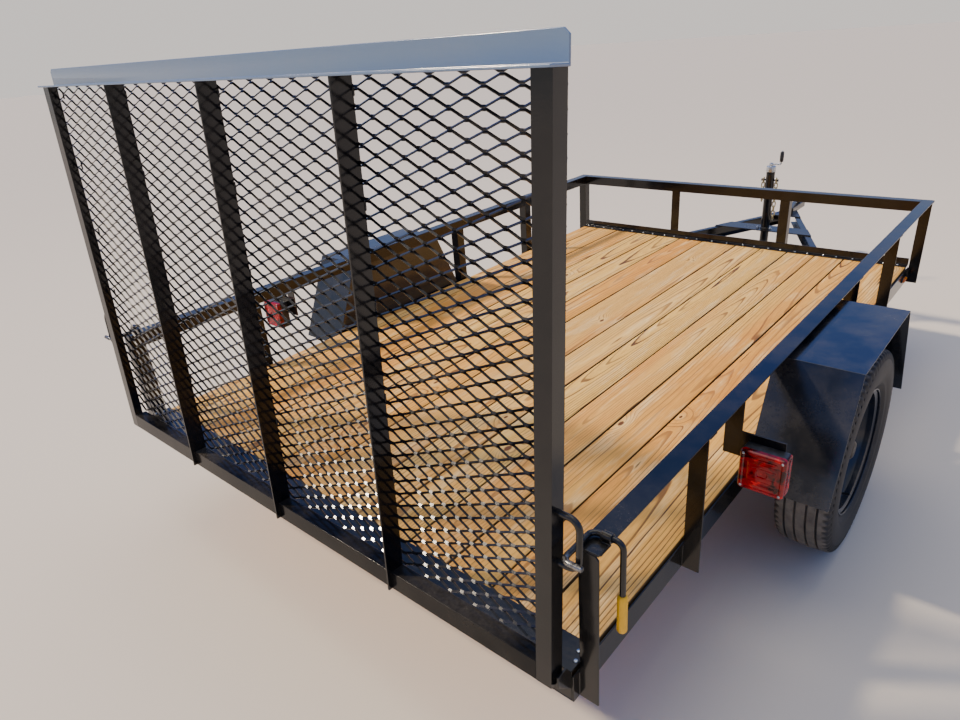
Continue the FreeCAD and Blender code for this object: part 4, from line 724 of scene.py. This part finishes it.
# %% Gate staples
SIDES = (("left", -1), ("right", 1))
STAPLE_BAR = 6.9 * MM
STAPLE_BEND = 24 * MM
STAPLE_ROOT = 4 * MM
low, high, back, face = leaned("gate_staples")
low, high = low + STAPLE_BAR, high - STAPLE_BAR
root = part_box("gate_uprights")[1].x - STAPLE_ROOT
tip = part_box("gate_staples")[1].x - STAPLE_BAR
paths = [bent_path([on_gate(x * way, up, (back + face) / 2)
                    for x, up in [(root, low), (tip, low), (tip, high), (root, high)]], STAPLE_BEND)
         for _, way in SIDES]
staples = make_bars(paths, STAPLE_BAR, "staple_bars", black_enamel, "gate", "gloss_black_paint",
                    "gate_staples")
print("staple faces", len(staples.data.polygons))


# %% Enamel rubbed off the hooks
SCUFF = 8 * MM
PAINTED_FROM, BARE_TO = 34 * MM, 20 * MM


def rubbed(tree, painted_y, bare_y):
    """Black enamel that is rubbed off to steel, in scuffs, from one place along Y to another."""
    values = enamel(tree, *BLACK_GLOSS)
    place = add(tree, "TexCoord")["Object"]
    along = add(tree, "SeparateXYZ", (place,))["Y"]
    near = add(tree, "MapRange", (along, bare_y, painted_y, 1.0, 0.0))[0]
    rubs = add(tree, "TexNoise", {
        "Vector": place, "Scale": 1 / SCUFF, "Detail": 3.0, "Roughness": 0.6})["Fac"]
    scuffs = add(tree, "MapRange", (rubs, 0.42, 0.62))[0]
    bare = add(tree, "Math", (near, scuffs), operation="MULTIPLY")[0]
    tone = add(tree, "Mix", {0: bare, 6: values["Base Color"], 7: "#908e8a"}, data_type="RGBA")[2]
    return {**values, "Base Color": tone, "Metallic": bare}


rod_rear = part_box("latch_rods")[0].y
rod_enamel = material("rubbed_black_enamel", rubbed, rod_rear + PAINTED_FROM, rod_rear + BARE_TO)
print("rubbed enamel nodes", len(rod_enamel.node_tree.nodes))

# %% Turned parts
SKYWARD = Vector((0, 0, 1))


def add_lathe(work, place, axis, profile, sides=24, start=None, loop=False):
    """A turned part: profile gives (along the axis, radius) in mm, and "hex" where it is cut to a hexagon."""
    axis = Vector(axis).normalized()
    side_a = start or axis.orthogonal().normalized()
    side_b = axis.cross(side_a)
    add_rings(work, [(place + axis * along * MM, side_a, side_b, radius * MM, *cut)
                     for along, radius, *cut in profile], sides, loop)


# %% Latch rods, their sleeves and dipped grips
LATCH_BAR = 6.5 * MM
LATCH_BEND = 16 * MM
HOOK_WIDE = 44 * MM
HOOK_DEEP = 11 * MM
GRIP_OVER = 4 * MM
ROD_LEVEL = 0.784
ROD_INNER = 0.9525 + LATCH_BAR
GRIP = [(0.0, 0.3), (2.0, 0.82), (6.0, 1.0), (48.0, 0.97), (88.0, 1.0), (93.0, 0.92), (96.0, 0.72)]
SLEEVE = [(-11, 7.2), (-11, 9.6), (-10, 10.6), (10, 10.6), (11, 9.6), (11, 7.2)]
grip_low, grip_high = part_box("latch_grips")
grip_radius = (grip_high.y - grip_low.y) / 2
grip_mid = (grip_high.y + grip_low.y) / 2
rod_outer = grip_high.x - grip_radius
sleeve_middle = (rod_outer + ROD_INNER) / 2
grip_profile = [(drop, share * grip_radius / MM) for drop, share in GRIP]
paths, grips, sleeves = [], bmesh.new(), bmesh.new()
hook_y = rod_rear + HOOK_DEEP
for _, way in SIDES:
    paths.append(bent_path([(way * x, y, z) for x, y, z in [
        (ROD_INNER + HOOK_WIDE, hook_y, ROD_LEVEL), (ROD_INNER, hook_y, ROD_LEVEL),
        (ROD_INNER, grip_mid, ROD_LEVEL), (rod_outer, grip_mid, ROD_LEVEL),
        (rod_outer, grip_mid, grip_high.z - GRIP_OVER)]], LATCH_BEND))
    add_lathe(grips, Vector((way * rod_outer, grip_mid, grip_low.z)), SKYWARD, grip_profile, 20,
              Vector((1, 0, 0)))
    add_lathe(sleeves, Vector((way * sleeve_middle, grip_mid, ROD_LEVEL)), (1, 0, 0), SLEEVE, 28,
              Vector((0, 1, 0)), loop=True)
rods = make_bars(paths, LATCH_BAR, "latch_bars", rod_enamel, "chassis", "gloss_black_paint")
make(grips, "dipped_grips", 180, yellow_pvc, "chassis", "yellow_grip", "latch_grips")
make(sleeves, "latch_sleeves", 35, black_enamel, "chassis", "gloss_black_paint", "latch_rods")
print("rods", len(rods.data.polygons))

# %% [markdown]
# ## Tyres
#
# A trailer tyre has stiff, nearly straight sidewalls, a rim guard rib, a rounded shoulder with short side
# lugs and a plain tread with four grooves that run round it. The outline is spun round the axle in small
# steps, and the lugs come from drawing every other few steps inward at the shoulder.

# %% Spin a profile
def centre(box):
    """The middle of a box."""
    return (box[0] + box[1]) / 2


def spin(profile, place, steps, shift=None):
    """Spin (x, radius) points in mm round an axle through place. shift(x, radius, step) may move a point."""
    work = bmesh.new()
    rings = []
    for step in range(steps):
        angle = math.tau * step / steps
        moved = [shift(x, radius, step) for x, radius in profile] if shift else profile
        around = Vector((0, math.sin(angle), math.cos(angle)))
        rings.append([work.verts.new(place + (Vector((x, 0, 0)) + around * radius) * MM)
                      for x, radius in moved])
    join_rings(work, rings, loop=True)
    return work


# %% Tyre pieces
# Places and depths in mm. The crown falls by TREAD_FALL at TREAD_HALF from the middle.
TREAD_GROOVES = [47.0, 16.5, -16.5, -47.0]
TREAD_HALF, TREAD_FALL = 75.0, 3.2
GROOVE_HALF = 3.6
GROOVE_FLOOR = GROOVE_HALF * 0.72
GROOVE_DEEP = 7.5
CROWN = 345.0
LUGS = 76
LUG_STEPS = 4
LUG_DEEP = 4.2
LUG_IN = 0.965
SHOULDER = 66
SHOULDER_LOW, SHOULDER_HIGH = 314, 341.7
WALL = [
    (56, 207), (60, 206.5), (64, 211), (68, 219), (74, 227), (78.5, 234), (80, 238), (79.5, 241),
    (83, 250), (86.4, 264), (87.3, 278), (86.8, 292), (85.2, 304), (83.4, 311), (82.4, 313.5),
    (83.6, 316), (82.8, 323), (80.8, 330), (77.6, 336), (73.0, 339.8), (67.5, 341.6), (60.0, 342.6)]
INNER = [(-52, 212), (-48, 240), (48, 240), (52, 212)]


def tyre_outline():
    """Half the section from bead to tread middle in mm, then its mirror, as one loop."""
    tread = []
    for groove in TREAD_GROOVES:
        crown = CROWN - (groove / TREAD_HALF) ** 2 * TREAD_FALL
        tread += [(groove + GROOVE_HALF, crown), (groove + GROOVE_FLOOR, crown - GROOVE_DEEP),
                  (groove - GROOVE_FLOOR, crown - GROOVE_DEEP), (groove - GROOVE_HALF, crown)]
    return WALL + tread + [(-x, radius) for x, radius in reversed(WALL)] + INNER


def lug_shift(x, radius, step):
    """Side lugs: every other pair of steps is drawn in at the shoulder."""
    if step % LUG_STEPS >= LUG_STEPS // 2 and abs(x) > SHOULDER and SHOULDER_LOW < radius < SHOULDER_HIGH:
        return x * LUG_IN, radius - LUG_DEEP
    return x, radius


for side, way in SIDES:
    work = spin(tyre_outline(), centre(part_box("tyre_" + side)), LUGS * LUG_STEPS, lug_shift)
    tyre = make(work, "tyre_tread_" + side, 32, tyre_rubber, "wheel_" + side, "tyre_rubber", "tyre_" + side)
    print("tyre", side, len(tyre.data.polygons))

# %% [markdown]
# ## Pressed steel wheels
#
# The rim is a rolled band with a curled lip at each side and a dropped well between the bead seats. The disc
# is pressed from plate: a flat face for the five nuts, a raised ring round it, then a cone out to the rim
# with eight hand holes. The holes are cut with a boolean, as a punch cuts the real disc.

# %% Rim and disc
HAND_HOLES = 8
HOLE_CIRCLE = 146 * MM
HOLE_RADIUS = 17 * MM
PUNCH_LONG = 160 * MM
BAND_PLATE, LIP_PLATE, DISC_PLATE = 3.2, 1.2, 4.6
# The band's outer face from lip to lip, and the disc's face from its pilot hole to the rim: x, radius in mm.
BAND_FACE = [
    (-72, 211), (-71.8, 214.2), (-70, 215.3), (-67.6, 214.6), (-65, 210.5), (-62.5, 205), (-59, 202.2),
    (-44, 200.8), (-38, 197), (-33, 188), (-18, 185.5), (12, 185.5), (24, 190), (36, 200), (44, 200.8),
    (59, 202.2), (62.5, 205), (65, 210.5), (67.6, 214.6), (70, 215.3), (71.8, 214.2), (72, 211)]
DISC_FACE = [
    (10, 40.5), (10, 74), (13, 80), (22, 90), (27, 100), (28, 112), (25, 128), (18, 148), (11, 164), (6, 174),
    (4, 181), (4, 187)]
band_back = [(x * 0.972 if abs(x) > 60 else x, radius - (BAND_PLATE if abs(x) < 66 else LIP_PLATE))
             for x, radius in reversed(BAND_FACE)]
band_back[0], band_back[-1] = (70.2, 209.8), (-70.2, 209.8)


def punch_hand_holes(disc, middle):
    """Cut the ring of hand holes through a disc."""
    punch = bmesh.new()
    for hole in range(HAND_HOLES):
        angle = math.tau * (hole + 0.5) / HAND_HOLES
        spot = middle + Vector((0.0, math.sin(angle), math.cos(angle))) * HOLE_CIRCLE
        bmesh.ops.create_cone(punch, cap_ends=True, segments=28, radius1=HOLE_RADIUS, radius2=HOLE_RADIUS,
                              depth=PUNCH_LONG,
                              matrix=Matrix.Translation(spot) @ Matrix.Rotation(math.pi / 2, 4, "Y"))
    cut = disc.modifiers.new("hand_holes", "BOOLEAN")
    cut.object = piece_from(punch, "punch")
    cut.operation = "DIFFERENCE"
    cut.solver = "EXACT"
    bpy.context.view_layer.update()
    holed = bpy.data.meshes.new_from_object(disc.evaluated_get(bpy.context.evaluated_depsgraph_get()))
    bpy.data.objects.remove(cut.object)
    disc.modifiers.clear()
    disc.data = holed


for side, way in SIDES:
    body, middle = "wheel_" + side, centre(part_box("rim_" + side))
    make(spin(BAND_FACE + band_back, middle, 120), "wheel_band_" + side, 50, rim_enamel, body,
         "dark_rim_paint", "rim_" + side)
    outline = DISC_FACE + [(x - DISC_PLATE, radius) for x, radius in reversed(DISC_FACE)]
    disc = piece_from(spin([(x * way, radius) for x, radius in outline], middle, 96), "wheel_disc_" + side)
    punch_hand_holes(disc, middle)
    dress(smooth(disc, 30), rim_enamel, body, "dark_rim_paint")
    print("disc", side, len(disc.data.polygons))

# %% [markdown]
# ## Hubs, wheel nuts and dust caps
#
# Five zinc-plated nuts with a chamfered crown clamp the disc, on studs whose ends stand a few threads proud.
# The bearing sits behind a pressed dust cap with a rolled shoulder, tapped into the hub.

# %% Nuts and dust caps
STUD_CIRCLE = 57.15 * MM
STUDS = 5
DISC_OUT = 10 * MM
BARREL_IN = 5 * MM
WHEEL_NUT = [(0, 8.5), (4, 10.6, "hex"), (4.2, 11.0, "hex"), (16, 11.0, "hex"), (18.5, 9.6), (20, 6.2),
             (20, 6.0), (26, 6.0), (27, 5.0)]
DUST_CAP = [(-14, 36), (6, 36), (7, 38), (11, 38), (12.5, 33), (34, 32), (40, 30), (44, 25), (45.5, 16),
            (46, 4)]
HUB_BARREL = [(-65, 30), (-64, 36), (-10, 37), (-9, 70), (-7.6, 72), (-1, 72), (0, 71), (0, 36)]
for side, way in SIDES:
    outward = Vector((way, 0, 0))
    face = centre(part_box("rim_" + side)) + outward * DISC_OUT
    nuts, hub = bmesh.new(), bmesh.new()
    for stud in range(STUDS):
        angle = math.tau * stud / STUDS
        spot = face + Vector((0, math.sin(angle), math.cos(angle))) * STUD_CIRCLE
        add_lathe(nuts, spot, outward, WHEEL_NUT, 36)
    add_lathe(hub, face, outward, DUST_CAP, 48)
    add_lathe(hub, face - outward * BARREL_IN, outward, HUB_BARREL, 48)
    nut_piece = make(nuts, "wheel_nuts_" + side, 28, clear_zinc, "wheel_" + side, "zinc_plate")
    make(hub, "hub_and_cap_" + side, 30, dark_turned_steel, "wheel_" + side, "bare_steel", "hub_" + side)
print("nuts", len(nut_piece.data.polygons))

# %% [markdown]
# ## Tail lamps and side markers
#
# Each tail lamp is a square box lamp: a black housing, and a deep red lens that covers its face and folds
# round its outer side, so that it shows from beside the trailer too. The lens has rounded corners, a raised
# rim, a sunk field with moulded ribs and a round bulb window in it, and a bright screw in each corner. A
# rounded-square outline is drawn once and lofted in steps, which gives the rim and the sunk field.

# %% Rounded loft
def rounded_loop(wide, tall, radius, per_corner=6):
    """The points of a rounded rectangle about its middle."""
    points = []
    for x_way, y_way, start in ((1, 1, 0), (-1, 1, 90), (-1, -1, 180), (1, -1, 270)):
        for step in range(per_corner + 1):
            angle = math.radians(start + 90 * step / per_corner)
            points.append((x_way * (wide / 2 - radius) + radius * math.cos(angle),
                           y_way * (tall / 2 - radius) + radius * math.sin(angle)))
    return points


def add_loft(work, middle, out, sections):
    """Join rounded rectangles: each section is (along out, width, height, corner radius) in mm."""
    up = SKYWARD if abs(out.z) < 0.5 else Vector((0, 1, 0))
    side = up.cross(out)
    join_rings(work, [[work.verts.new(middle + (out * along + side * x + up * y) * MM)
                       for x, y in rounded_loop(*size)] for along, *size in sections])


def add_screw(work, place, outward, radius):
    """A pan-head screw: a domed head with a round recess."""
    add_lathe(work, place, outward, [
        (radius * rise, radius * share)
        for rise, share in [(0, 1), (0.35, 1), (0.62, 0.82), (0.72, 0.45), (0.5, 0.3), (0.45, 0.05)]], 14)


# %% Tail lamps
LAMP_SCREW = 3.6
SCREW_INSET = 9.5
SCREW_OUT = 14.6
RIB_PITCH = 12.5
FLANK_IN, BACK_IN = 2.4 * MM, 1.6 * MM
# Steps of the lens and its bulb window: along, how much narrower than the lens, corner radius, in mm.
LENS_STEPS = [(-1.0, 1, 9), (9.0, 0, 9), (12.5, 2, 9), (15.2, 7, 8), (16.0, 12, 7), (15.6, 18, 6),
              (12.2, 24, 6), (11.6, 40, 8), (12.4, 44, 8)]
WINDOW = [(12.6, 30, 30, 14.9), (10.4, 26, 26, 12.9), (10.0, 2, 2, 0.9)]
rear = Vector((0, -1, 0))
housings, lenses, screws = bmesh.new(), bmesh.new(), bmesh.new()
for (low, high), (box_low, box_high) in zip(islands("tail_lenses"), islands("tail_lamps")):
    way = math.copysign(1, low.x)
    wide = (high.x - low.x) / MM
    depth = (box_high.y - box_low.y) / MM
    face = Vector(((low.x + high.x) / 2, high.y, (low.z + high.z) / 2))
    add_loft(lenses, face, rear, [(along, wide - less, wide - less, radius)
                                  for along, less, radius in LENS_STEPS] + WINDOW)
    for rib in (-3, -2, -1, 1, 2, 3):
        add_loft(lenses, face + SKYWARD * rib * RIB_PITCH * MM, rear, [
            (11.0, wide - 44, 5.0, 2.4), (13.0, wide - 46, 3.2, 1.5), (13.4, wide - 48, 1.2, 0.5)])
    flank = Vector(((box_high.x if way > 0 else box_low.x) - FLANK_IN * way, (box_low.y + box_high.y) / 2,
                    face.z))
    add_loft(lenses, flank, Vector((way, 0, 0)), [
        (-1.5, depth - 1, wide - 3, 6), (0.6, depth - 2, wide - 4, 6), (2.0, depth - 6, wide - 9, 5),
        (1.2, depth - 11, wide - 16, 4), (1.0, 2, 60, 0.9)])
    add_loft(housings, Vector((face.x - BACK_IN * way, box_high.y, face.z)), rear, [
        (0.0, wide - 9, wide - 6, 6), (1.5, wide - 4.4, wide - 2, 7), (depth - 3, wide - 3.4, wide - 1, 8),
        (depth + 1, wide - 4.4, wide - 2, 8)])
    inset = wide / 2 - SCREW_INSET
    for _, x_way in SIDES:
        for _, z_way in SIDES:
            corner = Vector((x_way * inset, -SCREW_OUT, z_way * inset)) * MM
            add_screw(screws, face + corner, rear, LAMP_SCREW)
lens_piece = make(lenses, "lamp_lenses", 28, red_lens, "chassis", "red_lens", "tail_lenses")
make(housings, "lamp_housings", 40, black_abs, "chassis", "black_housing", "tail_lamps")
make(screws, "lamp_screws", 30, clear_zinc, "chassis", "zinc_plate")
print("lamp faces", len(lens_piece.data.polygons))

# %% Side markers
markers, bases = bmesh.new(), bmesh.new()
for low, high in islands("side_markers"):
    outward = Vector((math.copysign(1, low.x), 0, 0))
    root = Vector((low.x if outward.x > 0 else high.x, (low.y + high.y) / 2, (low.z + high.z) / 2))
    long, tall = (high.y - low.y) / MM, (high.z - low.z) / MM
    add_loft(bases, root, outward, [
        (0, long, tall, 9), (3.6, long, tall, 9), (4.4, long - 1.6, tall - 1.6, 8.5)])
    add_loft(markers, root, outward, [
        (3.0, long - 6, tall - 5, 8), (9.0, long - 7, tall - 6, 8), (12.4, long - 11, tall - 10, 6),
        (13.8, long - 18, tall - 15, 4), (13.4, long - 30, 2, 0.9)])
marker_piece = make(markers, "marker_lenses", 35, amber_lens, "chassis", "amber_lens", "side_markers")
make(bases, "marker_bases", 35, black_abs, "chassis", "black_housing")
print("marker faces", len(marker_piece.data.polygons))

# %% [markdown]
# ## Jack, coupler and safety chains
#
# The tongue jack is an outer tube with a cap, a crank on a screw that runs down inside it, and an inner leg
# with a pressed foot. The crank is bent round bar with a loose grip. The chains are welded proof chain: each
# link is round bar bent to a long ring, and every second link stands across the one before. They are draped
# over the jack's studs and once across its tube, as they are stored between tows.

# %% Jack
TUBE_RADIUS = 26.0
LEG_RADIUS = 21.4
COLLAR_UP = 0.366
STUD_UP = 0.683
STUD_IN = 24 * MM
CRANK_REACH = 58 * MM
CRANK_BAR = 5.0 * MM
CRANK_BEND = 9 * MM
CRANK_BACK = 13 * MM
ARM_OVER, CRANK_NUT_OVER, KNOB_OVER = 35 * MM, 27 * MM, 50 * MM
tube_low, tube_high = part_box("jack_tube")
leg_low, leg_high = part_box("jack_leg")
crank_low, crank_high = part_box("jack_crank")
tube_long, leg_top = (tube_high.z - tube_low.z) / MM, leg_high.z / MM


def on_jack(up, across=0.0):
    """A place at a height above the floor, on the jack's own axis or across from it."""
    return Vector(((leg_low.x + leg_high.x) / 2 + across, (leg_low.y + leg_high.y) / 2, up))


tube = bmesh.new()
add_lathe(tube, on_jack(tube_low.z), SKYWARD, [
    (0, 23.2), (0, 25.2), (0.8, TUBE_RADIUS), (tube_long - 40, TUBE_RADIUS), (tube_long - 39, TUBE_RADIUS),
    (tube_long - 1, TUBE_RADIUS), (tube_long, 25.4)], 48)
add_lathe(tube, on_jack(COLLAR_UP), SKYWARD, [
    (-2, 33), (-1, 34), (9, 34), (11, 31), (13, 27.4), (14, TUBE_RADIUS)], 48)
for _, way in SIDES:
    add_lathe(tube, on_jack(STUD_UP, STUD_IN * way), (way, 0, 0), [
        (0, 5.0), (24.5, 5.0), (24.8, 8.4), (28, 8.4), (28.7, 7.4)], 24)
make(tube, "jack_outer_tube", 35, black_enamel, "chassis", "gloss_black_paint", "jack_tube")

head = bmesh.new()
add_lathe(head, on_jack(crank_low.z), SKYWARD, [
    (-14, 27.2), (-13, 28.6), (0, 28.8), (17, 28.8), (20.4, 27.4), (22, 23), (22.3, 13), (23, 12), (31, 12),
    (32.5, 10.5), (33, 3)], 48)
arm_up = crank_low.z + ARM_OVER
add_bar(head, bent_path([on_jack(arm_up, -CRANK_BACK), on_jack(arm_up, CRANK_REACH),
                         on_jack(crank_high.z, CRANK_REACH)], CRANK_BEND), CRANK_BAR, 14)
add_lathe(head, on_jack(crank_low.z + CRANK_NUT_OVER), SKYWARD, [
    (0, 11.0, "hex"), (1, 11.8, "hex"), (11, 11.8, "hex"), (13.5, 9.5)], 36)
make(head, "jack_head_and_crank", 32, clear_zinc, "chassis", "zinc_plate", "jack_crank")

knob = bmesh.new()
add_lathe(knob, on_jack(crank_low.z + KNOB_OVER, CRANK_REACH), SKYWARD, [
    (0, 8.6), (1.5, 10.4), (12, 11.4), (36, 11.8), (56, 11.0), (61, 9.4), (63, 7.0), (63, 5.2)], 28)
make(knob, "crank_grip", 40, black_abs, "chassis", "black_housing")

leg = bmesh.new()
add_lathe(leg, on_jack(0.0), SKYWARD, [
    (0.6, 63), (0.0, 66), (0.8, 69.3), (3.4, 70), (5.6, 68.6), (5.0, 62), (6.0, 52), (12, 44), (15, 38),
    (16.4, 28), (18, 23.5), (22, LEG_RADIUS), (leg_top - 1, LEG_RADIUS), (leg_top, 20.6)], 56)
make(leg, "jack_inner_leg", 32, clear_zinc, "jack_leg", "zinc_plate", "jack_leg")
print("jack pieces 4")

# %% Safety chains
LINK_BAR = 3.4 * MM
LINK_LONG = 42.8 * MM
LINK_WIDE = 25.6 * MM
DRAPE_UP = 0.612
DRAPE_LINKS = 4
DRAPE_SAG = 14 * MM
DRAPE_RADIUS = (TUBE_RADIUS + 9.0) * MM
DRAPE_FROM, DRAPE_TURN = math.radians(-170), math.radians(160)
DRAPE_DIP = 0.35
LINK_LEAN = 0.06


def link_path(middle, along, across, per_end=9):
    """The centre line of one link: two straight sides and two round ends."""
    turn = LINK_WIDE / 2 - LINK_BAR
    straight = LINK_LONG / 2 - LINK_BAR - turn
    angles = [math.pi * step / per_end for step in range(per_end + 1)]
    return [middle + along * way * (straight + turn * math.sin(angle)) + across * way * turn * math.cos(angle)
            for way in (1, -1) for angle in angles]


chain_paths = []
for index, (low, high) in enumerate(islands("safety_chains")):
    lean = LINK_LEAN * math.sin(index * 2.3)
    along = Vector((lean, -lean * 0.6, 1.0)).normalized()
    across = Vector((1, 0, 0)) if high.x - low.x > high.y - low.y else Vector((0, 1, 0))
    across = (across - along * across.dot(along)).normalized()
    chain_paths.append(link_path((low + high) / 2, along, across))
for index in range(DRAPE_LINKS):
    share = (index + 0.5) / DRAPE_LINKS
    angle = DRAPE_FROM + DRAPE_TURN * share
    outward = Vector((math.cos(angle), math.sin(angle), 0.0))
    middle = on_jack(DRAPE_UP - DRAPE_SAG * math.sin(math.pi * share)) + outward * DRAPE_RADIUS
    along = Vector((-math.sin(angle), math.cos(angle), -DRAPE_DIP * math.cos(math.pi * share))).normalized()
    across = along.cross(outward).normalized() if index % 2 else outward
    chain_paths.append(link_path(middle, along, across))
chain_piece = make_bars(chain_paths, LINK_BAR, "chain_links", yellow_zinc, "chassis", "zinc_plate",
                        "safety_chains", sides=10, loop=True)
print("chain faces", len(chain_piece.data.polygons))

# %% Coupler latch
latch = make(clean_copy("coupler_latch"), "coupler_lever", HARD_EDGE, clear_zinc, "chassis", "zinc_plate",
             "coupler_latch")
soften(latch, 1.6 * MM, 3)
print("coupler lever faces", len(latch.data.polygons))

# %% [markdown]
# ## Welds
#
# Every joint of the frame is a short run of wire weld: a bead whose top lies in small ripples, each one a
# frozen pool. Beads catch bright points of light along dark joints. Each is a ring carried along a straight
# run, swelling and sinking every few millimetres, half buried in the steel.

# %% Weld beads
BEAD = 2.6 * MM
RIPPLE = 3.2 * MM
POST_LOW, POST_HIGH, POST_TOP_IN = 6 * MM, 4 * MM, 6 * MM
SLEEVE_BEAD_HALF, SLEEVE_BEAD_OUT = 10 * MM, 9 * MM
MESH_BEADS_UP = (0.62, 0.83, 1.04, 1.25, 1.46)
weld_luck = random.Random(7)


def add_bead(work, start, end, radius=BEAD):
    """A rippled weld bead from start to end."""
    start, end = Vector(start), Vector(end)
    along = (end - start).normalized()
    side_a = along.orthogonal().normalized()
    side_b = along.cross(side_a)
    count = max(4, int((end - start).length / RIPPLE * 2))
    stations = []
    for index in range(count + 1):
        swell = weld_luck.uniform(0.95, 1.08) * (1.0 if index % 2 else 0.8)
        size = radius * (0.4 if index in (0, count) else swell)
        stations.append((start.lerp(end, index / count), side_a, side_b, size))
    add_rings(work, stations, 8)


chassis_beads, gate_beads = bmesh.new(), bmesh.new()
frame_low, frame_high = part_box("frame_side_right")
rail_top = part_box("rail_right")[1].z + 0.6 * MM
for side, way in SIDES:
    for low, high in islands("posts_" + side):
        for y in (low.y, high.y):
            add_bead(chassis_beads, (frame_high.x * way, y, frame_low.z + POST_LOW),
                     (frame_high.x * way, y, frame_high.z - POST_HIGH))
        x = high.x if way > 0 else low.x
        add_bead(chassis_beads, (x, low.y + POST_TOP_IN, high.z), (x, high.y - POST_TOP_IN, high.z),
                 BEAD * 0.6)
    for y in (grip_mid - SLEEVE_BEAD_OUT, grip_mid + SLEEVE_BEAD_OUT):
        add_bead(chassis_beads, ((sleeve_middle - SLEEVE_BEAD_HALF) * way, y, rail_top),
                 ((sleeve_middle + SLEEVE_BEAD_HALF) * way, y, rail_top))
for low, high in islands("gate_uprights"):
    inner = low.x if low.x > 0.5 else high.x
    for up in MESH_BEADS_UP:
        for x in ((low.x, high.x) if abs(inner) < 0.6 else (inner,)):
            spot = on_gate(x, up, sheet_back)
            add_bead(gate_beads, spot, spot + UP * weld_luck.uniform(16, 26) * MM)
make(chassis_beads, "frame_welds", 60, black_enamel, "chassis", "gloss_black_paint")
make(gate_beads, "gate_welds", 60, black_enamel, "gate", "gloss_black_paint")
print("weld beads set")

# %% [markdown]
# ## Springs' clamps, screws and bolts
#
# Zinc fasteners are the small bright points of a black trailer. Two U-bolts pass under the axle tube at each
# spring and are drawn up on a plate by four nuts. Screws hold the boards under the front retainer and at the
# rear corners, and bolts hold the jack and the coupler.

# %% U-bolts and spring plates
HEX_NUT = [(0, 8.0), (0.6, 8.8, "hex"), (1, 9.2, "hex"), (6.5, 9.2, "hex"), (8, 8.0), (8, 5.2), (13, 5.2),
           (14, 4.2)]
U_BAR = 5.0 * MM
U_BEND = 26 * MM
U_INSET = 10 * MM
PLATE_THICK = 8 * MM
THREAD_OVER = 8 * MM
axle_low, axle_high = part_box("axle_beam")
axle_middle = (axle_low.y + axle_high.y) / 2
reach = (axle_high.y - axle_low.y) / 2 + U_BAR + 1 * MM
plate_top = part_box("axle_ubolts")[1].z - U_INSET
thread_top = plate_top + THREAD_OVER
nuts, plates, paths = bmesh.new(), bmesh.new(), []
for low, high in islands("axle_ubolts"):
    bottom = low.z + U_BAR + 5 * MM
    for x in (low.x + U_INSET, high.x - U_INSET):
        paths.append(bent_path([(x, axle_middle + y, z) for y, z in [
            (-reach, thread_top), (-reach, bottom), (reach, bottom), (reach, thread_top)]], U_BEND, 10))
        for y in (axle_middle - reach, axle_middle + reach):
            add_lathe(nuts, Vector((x, y, plate_top)), SKYWARD, HEX_NUT, 36)
    middle, (wide, long, _) = (low + high) / 2, (high - low) / MM
    add_loft(plates, Vector((middle.x, middle.y, plate_top - PLATE_THICK)), SKYWARD, [
        (0, wide - 2, long - 2, 6), (1, wide, long, 7), (7, wide, long, 7), (8, wide - 2, long - 2, 6)])
make_bars(paths, U_BAR, "u_bolts", clear_zinc, "chassis", "zinc_plate", "axle_ubolts")
make(plates, "spring_plates", 30, black_enamel, "chassis", "gloss_black_paint")
print("U-bolts", len(paths))

# %% Screws and bolts
BOARD_SCREW, REAR_SCREW = 4.6, 5.0
REAR_SCREW_PLACES = ((0.934, -2.133), (0.943, -2.158))
JACK_BOLTS = 3
JACK_BOLT_CIRCLE = 47 * MM
COUPLER_BOLTS = (28 * MM, 66 * MM)
RETAINER_SCREW_IN = 14 * MM
levels = sorted({round(vertex.co.z, 4) for vertex in nodes["board_retainer"].data.vertices})
screw_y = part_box("board_retainer")[0].y + RETAINER_SCREW_IN
for low, high in islands("deck_boards"):
    for share in (0.27, 0.73):
        add_screw(nuts, Vector((low.x + (high.x - low.x) * share, screw_y, levels[1])), SKYWARD, BOARD_SCREW)
for _, way in SIDES:
    for x, y in REAR_SCREW_PLACES:
        add_screw(nuts, Vector((x * way, y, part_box("frame_rear")[1].z)), SKYWARD, REAR_SCREW)
for turn in range(JACK_BOLTS):
    angle = math.radians(90 + 360 * turn / JACK_BOLTS)
    spot = Vector((math.cos(angle), math.sin(angle), 0)) * JACK_BOLT_CIRCLE
    add_lathe(nuts, on_jack(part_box("jack_plate")[1].z) + spot, SKYWARD, HEX_NUT, 36)
coupler_low, coupler_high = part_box("coupler")
for y in COUPLER_BOLTS:
    add_lathe(nuts, Vector((0, coupler_low.y + y, coupler_high.z)), SKYWARD, HEX_NUT, 36)
fasteners = make(nuts, "screws_and_nuts", 28, clear_zinc, "chassis", "zinc_plate")
print("screw and nut faces", len(fasteners.data.polygons))

# %% Tyre valves
VALVE_OUT, VALVE_DOWN = 34 * MM, 178 * MM
VALVE = [(0, 6.4), (3, 6.6), (6, 4.6), (20, 3.9), (24, 3.8), (24.6, 4.4), (33, 4.2), (34, 3.2)]
for side, way in SIDES:
    valve = bmesh.new()
    place = centre(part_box("rim_" + side)) + Vector((VALVE_OUT * way, 0, -VALVE_DOWN))
    add_lathe(valve, place, (way, 0, 0.25), VALVE, 16)
    make(valve, "tyre_valve_" + side, 35, black_abs, "wheel_" + side, "black_housing")
print("valves set")
